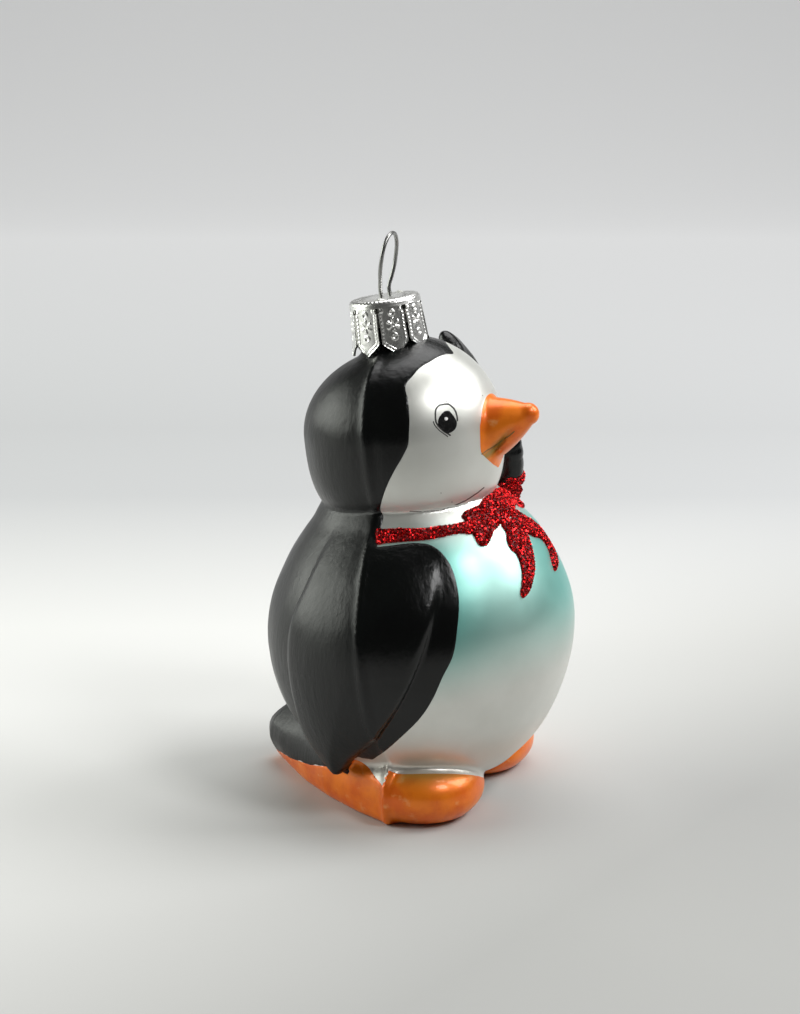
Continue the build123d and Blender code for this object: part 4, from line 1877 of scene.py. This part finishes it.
def scatter_on(ground: Object, form: Object, name: str,
               material: Material, each_mm: float, seed: int) -> Object:
    """Strews copies of a small form on a ground with Geometry Nodes and makes them one real mesh.

    Args:
        ground: Object whose faces are strewn.
        form: Small closed form.
        name: Name of the result.
        material: Its material.
        each_mm: Copies for each square millimetre.
        seed: Seed of the scatter.

    Returns:
        The object with all the copies.
    """
    tree = bpy.data.node_groups.new("strewn_flakes", "GeometryNodeTree")
    geometry = group_input(tree, "Geometry", "NodeSocketGeometry")
    density = group_input(tree, "Density", "NodeSocketFloat")
    seed_input = group_input(tree, "Seed", "NodeSocketInt")
    flake = group_input(tree, "Flake", "NodeSocketObject")
    finish = group_input(tree, "Material", "NodeSocketMaterial")
    tree.interface.new_socket("Geometry", in_out="OUTPUT", socket_type="NodeSocketGeometry")
    entry = add_node(tree, "NodeGroupInput").outputs
    spread = add_node(tree, "GeometryNodeDistributePointsOnFaces", inputs={
        "Mesh": entry["Geometry"], "Density": entry["Density"], "Seed": entry["Seed"]})
    tilt = add_node(tree, "FunctionNodeRandomValue", {"data_type": "FLOAT_VECTOR"}, {
        0: (-0.75, -0.75, -3.1), 1: (0.75, 0.75, 3.1), "Seed": entry["Seed"]}).outputs[0]
    turn = add_node(tree, "FunctionNodeRotateEuler", {"rotation_type": "EULER", "space": "LOCAL"}, {
        "Rotation": spread.outputs["Rotation"], "Rotate By": tilt}).outputs[0]
    size = add_node(tree, "FunctionNodeRandomValue", {"data_type": "FLOAT"}, {
        2: 0.65, 3: 1.2, "Seed": entry["Seed"]}).outputs[1]
    object_info = add_node(tree, "GeometryNodeObjectInfo", inputs={"Object": entry["Flake"]})
    copies = add_node(tree, "GeometryNodeInstanceOnPoints", inputs={
        "Points": spread.outputs["Points"], "Instance": object_info.outputs["Geometry"],
        "Rotation": turn, "Scale": size})
    real = add_node(tree, "GeometryNodeRealizeInstances", inputs={"Geometry": copies.outputs[0]})
    dressed = add_node(tree, "GeometryNodeSetMaterial", inputs={
        "Geometry": real.outputs[0], "Material": entry["Material"]})
    add_node(tree, "NodeGroupOutput", inputs={"Geometry": dressed.outputs[0]})
    modifier = ground.modifiers.new("strewn_flakes", "NODES")
    modifier.node_group = tree
    values = {density: each_mm / MM ** 2, seed_input: seed, flake: form, finish: material}
    for identifier, value in values.items():
        modifier[identifier] = value
    return baked(ground, modifier, name)


def baked(source: Object, modifier: Modifier, name: str) -> Object:
    """Turns the result of a modifier into an object of its own and removes the modifier.

    Args:
        source: Object that carries the modifier.
        modifier: The modifier.
        name: Name of the result.

    Returns:
        The new object, linked to the scene.
    """
    bpy.context.view_layer.update()
    mesh = bpy.data.meshes.new_from_object(source.evaluated_get(bpy.context.evaluated_depsgraph_get()))
    mesh.name = name
    source.modifiers.remove(modifier)
    return linked(name, mesh)


@dataclass
class CrownCap:
    """Stamped crown cap: a flat top with a beaded rim and eight embossed, pointed petals."""

    form: GlassForm = field(default_factory=GlassForm)
    top: float = 9.85
    length: float = 8.5
    top_radius: float = 5.6
    tip_radius: float = 6.2
    sheet: float = 0.26
    edge_radius: float = 0.75
    petals: int = 8
    first_petal: float = 166.0
    point: float = 1.9
    slit: float = 0.4
    slit_top: float = 0.06
    slit_end: float = 0.36
    slit_depth: float = 0.35
    relief: float = 0.13
    # Stamped pattern: pitch of the beads, depths of the two rings, depth and rays of the flower.
    bead_pitch: float = 0.56
    ring_places: Pair = (2.0, 5.7)
    flower_place: float = 3.85
    flower_rays: int = 6
    # Flat top: how deep it is dished, and the beads round it.
    dish: float = 0.06
    top_bead: float = 0.07
    top_beads: int = 48
    turns: int = 192
    columns: int = 46
    rows: int = 84

    def placed(self, n: Array) -> Array:
        """Points on the neck's axis as points of the standing figure."""
        upright = turned(n, -self.form.neck_tilt) + np.array([0.0, 0.0, self.form.neck_root])
        return self.form.standing(upright)

    def build(self) -> None:
        """Builds the crown and its petals as one piece."""
        metal = StampedMetal("bright_stamped_tinplate", "FBFBF8", 0.28).build()
        parts = [self.crown()]
        petal_points, petal_faces = self.petal()
        for index in range(self.petals):
            angle = math.radians(self.first_petal + index * 360 / self.petals)
            c, s = math.cos(angle), math.sin(angle)
            turn = np.array([[c, -s, 0], [s, c, 0], [0, 0, 1]])
            parts.append((petal_points @ turn.T, petal_faces))
        points, faces = joined_parts(parts)
        cap = mesh_object("crown_cap", self.placed(points), faces, 60.0)
        dress(cap, metal, Body.CAP, ["ornament_cap"])

    def radius(self, depth: Array) -> Array:
        """Outer radius at a depth below the top.

        Args:
            depth: Depths below the top.

        Returns:
            Radii.
        """
        straight = self.top_radius + (self.tip_radius - self.top_radius) * depth / self.length
        inside = np.clip(1 - depth / self.edge_radius, 0.0, 1.0)
        return straight - self.edge_radius * (1 - np.sqrt(1 - inside * inside))

    def crown(self) -> Shape:
        """Flat top with its rounded, beaded shoulder, as deep as the slits' round ends.

        Returns:
            Points and faces.
        """
        depth = self.edge_radius + self.slit_depth
        outer = [(0.0, self.dish), (2.9, self.dish), (3.6, 0.0), (4.1, 0.0)]
        for k in range(9):
            angle = math.pi / 2 * k / 8
            outer.append((self.top_radius - self.edge_radius * (1 - math.sin(angle)),
                          self.edge_radius * (1 - math.cos(angle))))
        outer.append((float(self.radius(np.array(depth))), depth))
        inner = [(max(r - self.sheet, 0.0), min(d + self.sheet, depth)) for r, d in outer]
        inner[0] = (0.0, self.sheet + self.dish)
        ring = outer + inner[::-1]
        turns = self.turns
        angles = np.arange(turns) * 2 * math.pi / turns
        points, rows = [], []
        for place, (r, d) in enumerate(ring):
            if r <= 0.0:
                rows.append([len(points)])
                points.append((0.0, 0.0, self.top - d))
                continue
            bead = 0.0
            if place < len(outer) and 3.5 < r < self.top_radius - 0.12:
                bead = self.top_bead
            rows.append(list(range(len(points), len(points) + turns)))
            for k, angle in enumerate(angles):
                lift = bead * (0.5 + 0.5 * math.cos(angle * self.top_beads))
                points.append((r * math.cos(angle), r * math.sin(angle), self.top - d - bead + lift))
        faces = []
        for first, second in zip(rows, rows[1:]):
            for k in range(turns):
                n = (k + 1) % turns
                if len(first) == 1:
                    faces.append((first[0], second[k], second[n]))
                elif len(second) == 1:
                    faces.append((first[k], second[0], first[n]))
                else:
                    faces += [(first[k], second[k], second[n]), (first[k], second[n], first[n])]
        return np.array(points), np.array(faces)

    def emboss(self, x: Array, depth: Array, half: Array, floor: Array) -> Array:
        """Height of the stamped pattern, as a share of the relief.

        Args:
            x: Place across the petal.
            depth: Place below the top.
            half: Half of the petal's width there.
            floor: Depth of the petal's lower edge there.

        Returns:
            Heights from about -1 to 1.
        """
        side = half - np.abs(x)
        below = (floor - depth) * 0.74
        edge = np.minimum(side, below)
        out = 0.9 * np.exp(-((edge - 0.08) / 0.1) ** 2)
        out += 0.55 * ease((0.66 - edge) / 0.1) * ease(edge / 0.06)
        along = np.where(below < side, np.abs(x) * 1.35, depth)
        beads = 0.5 + 0.5 * np.cos(along * 2 * math.pi / self.bead_pitch)
        row = np.exp(-((edge - 0.36) / 0.13) ** 2)
        ring = np.where(below < side, 1 - 1.7 * np.exp(-(((beads - 1) / 0.35) ** 2)), 1.0)
        out += row * beads * 0.9 * ring
        for place in self.ring_places:
            away = np.hypot(x, depth - place)
            out += 0.9 * np.exp(-((away - 0.42) / 0.13) ** 2) - 0.5 * np.exp(-(away / 0.2) ** 2)
        for k in range(self.flower_rays):
            angle = math.radians(360 / self.flower_rays * k + 90)
            low = depth - self.flower_place
            along = x * math.cos(angle) + low * math.sin(angle)
            across = np.abs(-x * math.sin(angle) + low * math.cos(angle))
            wide = 0.09 + 0.17 * np.clip((along - 0.2) / 0.8, 0.0, 1.0)
            ends = rise(along, 0.2, 0.15) * fall(along, 1.16, 0.22)
            out += np.sqrt(np.clip(1 - across / wide, 0.0, 1.0) * ends)
        return out * ease((depth - self.edge_radius - self.slit_depth) / 0.25)

    def petal(self) -> Shape:
        """One embossed petal round the +X side.

        Returns:
            Points and faces.
        """
        start = self.edge_radius * 0.8
        s = np.linspace(-1, 1, self.columns + 1)[:, None]
        t = np.linspace(0, 1, self.rows + 1)[None, :]
        floor = self.length - 0.02 - self.point * np.abs(s) ** 1.05
        depth = start + (floor - start) * t
        radius = self.radius(depth)
        slit = self.slit_top + (self.slit / 2 - self.slit_top) * ease((depth - 1.2) / 3.0)
        rounded = self.slit_end * np.exp(-(((depth - self.edge_radius - 0.75) / 0.4) ** 4))
        half = radius * math.pi / self.petals - np.maximum(slit, rounded) - 0.02
        x = s * half
        edge_floor = self.length - self.point * np.abs(x) / (self.tip_radius * math.pi / self.petals)
        lift = self.relief * self.emboss(x, depth, half, edge_floor)
        angle = x / radius
        ground = radius - self.relief * 1.4
        shells = []
        for reach in (ground + lift, ground - self.sheet + 0.55 * lift):
            shells.append(np.stack([reach * np.cos(angle), reach * np.sin(angle), self.top - depth], -1))
        n, m = self.columns + 1, self.rows + 1
        index = np.arange(n * m).reshape(n, m)
        corners = (index[:-1, :-1], index[1:, :-1], index[1:, 1:], index[:-1, 1:])
        a, b, c, d = (corner.ravel() for corner in corners)
        outer = np.concatenate([np.stack([a, d, c], 1), np.stack([a, c, b], 1)])
        border = np.concatenate([index[:-1, 0], index[-1, :-1], index[:0:-1, -1], index[0, :0:-1]])
        following = np.roll(border, -1)
        shift = n * m
        wall = np.concatenate([np.stack([border, following, following + shift], 1),
                               np.stack([border, following + shift, border + shift], 1)])
        faces = np.concatenate([outer, outer[:, ::-1] + shift, wall])
        return np.concatenate([shell.reshape(-1, 3) for shell in shells]), faces


def joined_parts(parts: Sequence[Shape]) -> Shape:
    """Joins several meshes into one list of points and faces.

    Args:
        parts: Points and faces of each mesh.

    Returns:
        Points and faces of them all.
    """
    points, faces, start = [], [], 0
    for part_points, part_faces in parts:
        points.append(part_points)
        faces.append(part_faces + start)
        start += len(part_points)
    return np.concatenate(points), np.concatenate(faces)


@dataclass
class WireHanger:
    """Spring wire: a long loop above the cap and two legs down into the neck."""

    cap: CrownCap = field(default_factory=CrownCap)
    radius: float = 0.31
    # One half from the leg's end to the loop's top: place across, height over the cap's top.
    half_path: Table = (
        (2.3, -12.8), (2.9, -5.76), (2.3, -3.6), (1.7, -1.6), (1.7, 0), (1.78, 1.2),
        (2.35, 2.7), (2.88, 4.2), (3, 5.8), (2.5, 8.1), (1.2, 9.4), (0, 9.65),
    )
    # Height over the cap's top from which the loop leans to the front, and how much.
    bend: float = 1.2
    lean: float = 17.0
    forward: float = 0.3
    stations: int = 260
    sides: int = 16

    def build(self) -> None:
        """Builds the wire as one closed tube."""
        steel = StampedMetal("drawn_steel_wire", "8F8F8D", 0.26).build()
        slope = math.tan(math.radians(self.lean))
        half = [(x, -self.forward - max(z - self.bend, 0.0) * slope, z + self.cap.top)
                for x, z in self.half_path]
        path = np.array(half + [(-x, y, z) for x, y, z in reversed(half[:-1])])
        places = np.concatenate([[0.0], np.cumsum(np.linalg.norm(np.diff(path, axis=0), axis=1))])
        fine = np.linspace(0, places[-1], self.stations)
        table = [tuple([place, *row]) for place, row in zip(places, path)]
        smooth = np.stack([glide(fine, table, k) for k in (1, 2, 3)], 1)
        points, faces = tube(smooth, self.radius, self.sides)
        wire = mesh_object("wire_hanger", self.cap.placed(points), faces)
        dress(wire, steel, Body.HANGER, ["hanger_wire"])


def tube(path: Array, radius: float, sides: int) -> Shape:
    """A round wire along a path, closed at both ends.

    Args:
        path: Points along the middle.
        radius: Radius of the wire.
        sides: Points round it.

    Returns:
        Points and faces.
    """
    ahead = np.gradient(path, axis=0)
    ahead /= np.linalg.norm(ahead, axis=1)[:, None]
    across = np.cross(ahead, [0.0, 1.0, 0.0])
    across /= np.linalg.norm(across, axis=1)[:, None]
    up = np.cross(across, ahead)
    angles = np.arange(sides) * 2 * math.pi / sides
    rings = [path + radius * (math.cos(a) * across + math.sin(a) * up) for a in angles]
    points = np.stack(rings, 1).reshape(-1, 3)
    faces = []
    for k in range(len(path) - 1):
        for n in range(sides):
            a, b = k * sides + n, k * sides + (n + 1) % sides
            faces += [(a, a + sides, b + sides), (a, b + sides, b)]
    first, last = len(points), len(points) + 1
    bulge = ahead * radius * 0.5
    points = np.concatenate([points, path[:1] - bulge[:1], path[-1:] + bulge[-1:]])
    base = (len(path) - 1) * sides
    for n in range(sides):
        m = (n + 1) % sides
        faces += [(first, n, m), (last, base + m, base + n)]
    return points, np.array(faces)


# Studio


@dataclass(frozen=True)
class SoftBox:
    """A rectangular soft lamp, placed by its angles as seen from the figure.

    Turn is from the camera's side to the right, and rise is over the floor, both in degrees.
    """

    name: str
    turn: float
    rise: float
    distance: float
    width: float
    height: float
    power: float
    colour: str = "FFFFFF"


@dataclass(frozen=True)
class Studio:
    """Floor, backdrop, soft lamps and the camera at the photograph's viewing angle."""

    view: PhotoView = field(default_factory=PhotoView)
    lens: float = 83.68
    # Floor: half its width, where it begins to rise behind the figure and how wide its bend is.
    half_width: float = 1600.0
    sweep_start: float = 620.0
    sweep_radius: float = 500.0
    # Painted light: way in which the cloth's colour gets brighter, darker in front and brighter to the back
    # and the left, and from where to where it changes, in millimetres.
    lit_way: Pair = (0.6, -0.8)
    lit_range: Pair = (-43.0, 52.0)
    wall_range: Pair = (80.0, 180.0)
    # Painted light: over this stretch the far cloth starts to glow, though no lamp lights it.
    painted_glow_range: Pair = (250.0, 580.0)
    shaded_front_colour: str = "ABABA9"
    lit_back_colour: str = "DADAD8"
    wall_colour: str = "BCBDBE"
    painted_wall_glow: float = 0.34
    room_colour: str = "8E8F8C"
    room_strength: float = 0.2
    backdrop_colour: str = "CBCBC9"
    backdrop_strength: float = 0.62
    camera_turn: float = 69.0
    aim: Triple = (0.0, 0.0, 42.0)
    lamps: tuple[SoftBox, ...] = (
        SoftBox("right_softbox", 100.0, 40.0, 620.0, 340.0, 340.0, 2.9),
        SoftBox("front_right_softbox", 50.0, 48.0, 620.0, 160.0, 160.0, 1.15),
        SoftBox("left_panel", -98.0, 19.0, 620.0, 620.0, 340.0, 3.1, "F4F8F0"),
        SoftBox("top_back_softbox", 170.0, 66.0, 620.0, 480.0, 480.0, 2.5),
    )

    def build(self) -> None:
        """Builds the stage, the lamps and the camera."""
        self.floor()
        self.world()
        for box in self.lamps:
            self.lamp(box)
        self.camera()

    def floor(self) -> None:
        """Pale floor that sweeps up into a backdrop behind the figure."""
        size, start, bend = self.half_width, self.sweep_start, self.sweep_radius
        heading = math.radians(-self.view.heading)
        ahead = np.array([math.sin(heading), math.cos(heading), 0.0])
        side = np.array([math.cos(heading), -math.sin(heading), 0.0])
        run = [(-size, 0.0), (start, 0.0)]
        for angle in np.linspace(0.1, math.pi / 2, 16):
            run.append((start + bend * math.sin(angle), bend * (1 - math.cos(angle))))
        points = []
        for forward, up in run:
            for across in (-size, size):
                points.append(ahead * forward + side * across + np.array([0.0, 0.0, up]))
        faces = [(2 * k, 2 * k + 1, 2 * k + 3, 2 * k + 2) for k in range(len(run) - 1)]
        mesh = bpy.data.meshes.new("floor")
        mesh.from_pydata((np.array(points) * MM).tolist(), [], faces)
        mesh.polygons.foreach_set("use_smooth", np.ones(len(faces), bool))
        floor = linked("floor", mesh)
        mesh.materials.append(self.cloth(ahead, ahead * self.lit_way[0] + side * self.lit_way[1]))

    def along(self, look: Look, way: Array, span: Pair, most: float = 1.0) -> NodeSocket:
        """Number that rises from 0 over a stretch of the floor.

        Args:
            look: The floor's material.
            way: Direction in which it rises.
            span: Where it begins and ends to rise, in millimetres from the figure.
            most: Number at the end.

        Returns:
            Socket with the number.
        """
        place = add_node(look.tree, "ShaderNodeNewGeometry").outputs["Position"]
        depth = add_node(look.tree, "ShaderNodeVectorMath", {"operation": "DOT_PRODUCT"}, {
            0: place, 1: tuple(way)}).outputs["Value"]
        return look.ramp(depth, span[0] * MM, span[1] * MM, 0.0, most)

    def cloth(self, ahead: Array, bright: Array) -> Material:
        """Matt pale cloth with painted light: its colour is darker in front and brighter to the back and the
        left, plain on the wall, and the far cloth glows.

        Args:
            ahead: The camera's level direction.
            bright: Direction in which the floor's painted light gets brighter.

        Returns:
            The material.
        """
        look = Look("pale_backdrop_with_painted_light")
        # Painted light: darker cloth in front, brighter to the back and the left.
        share = self.along(look, bright, self.lit_range)
        near = look.mix(share, linear(self.shaded_front_colour), linear(self.lit_back_colour))
        body = look.mix(self.along(look, ahead, self.wall_range), near, linear(self.wall_colour))
        # Painted light: the far cloth glows, though it is no lamp.
        glow = self.along(look, ahead, self.painted_glow_range, self.painted_wall_glow)
        return look.done({"Base Color": body, "Emission Color": linear("FFFFFF"), "Emission Strength": glow,
                          "Roughness": 0.95, "Specular IOR Level": 0.1})

    def world(self) -> None:
        """Dim room, which the camera itself sees as a pale backdrop."""
        world = bpy.data.worlds.new("studio")
        bpy.context.scene.world = world
        world.use_nodes = True
        tree = world.node_tree
        room = tree.nodes["Background"]
        room.inputs["Color"].default_value = linear(self.room_colour)
        room.inputs["Strength"].default_value = self.room_strength
        pale = add_node(tree, "ShaderNodeBackground", inputs={
            "Color": linear(self.backdrop_colour), "Strength": self.backdrop_strength})
        path = add_node(tree, "ShaderNodeLightPath")
        both = add_node(tree, "ShaderNodeMixShader", inputs={
            0: path.outputs["Is Camera Ray"], 1: room.outputs[0], 2: pale.outputs[0]})
        tree.links.new(both.outputs[0], tree.nodes["World Output"].inputs["Surface"])

    def lamp(self, box: SoftBox) -> None:
        """One soft box that faces the figure.

        Args:
            box: Its place, size, power and colour.
        """
        data = bpy.data.lights.new(box.name, "AREA")
        data.shape = "RECTANGLE"
        data.size = box.width * MM
        data.size_y = box.height * MM
        data.color = linear(box.colour)[:3]
        data.energy = box.power
        around, rise = math.radians(box.turn - self.camera_turn), math.radians(box.rise)
        level = math.cos(rise)
        way = Vector((math.sin(around) * level, -math.cos(around) * level, math.sin(rise)))
        lamp = linked(box.name, data)
        lamp.location = (Vector(self.aim) + way * box.distance) * MM
        lamp.rotation_euler = (-way).to_track_quat("-Z", "Y").to_euler()

    def camera(self) -> None:
        """Camera at the photograph's place and angle."""
        data = bpy.data.cameras.new("camera")
        data.lens = self.lens
        data.clip_start = 0.01
        data.clip_end = 20.0
        camera = linked("camera", data)
        camera.location = Vector(self.view.place) * MM
        camera.rotation_euler = (math.radians(self.view.tilt), 0.0, math.radians(self.view.heading))
        bpy.context.scene.camera = camera


def main() -> None:
    """Builds every sub-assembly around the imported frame."""
    logging.basicConfig(level=logging.INFO)
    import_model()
    bpy.context.scene.view_settings.view_transform = "Standard"
    skin = GlassFigure().build()
    PaintedEyes().build(skin)
    FineMarks().build(skin)
    GlitterBow().build(skin)
    CrownCap().build()
    WireHanger().build()
    Studio().build()


if __name__ == "__main__":
    main()
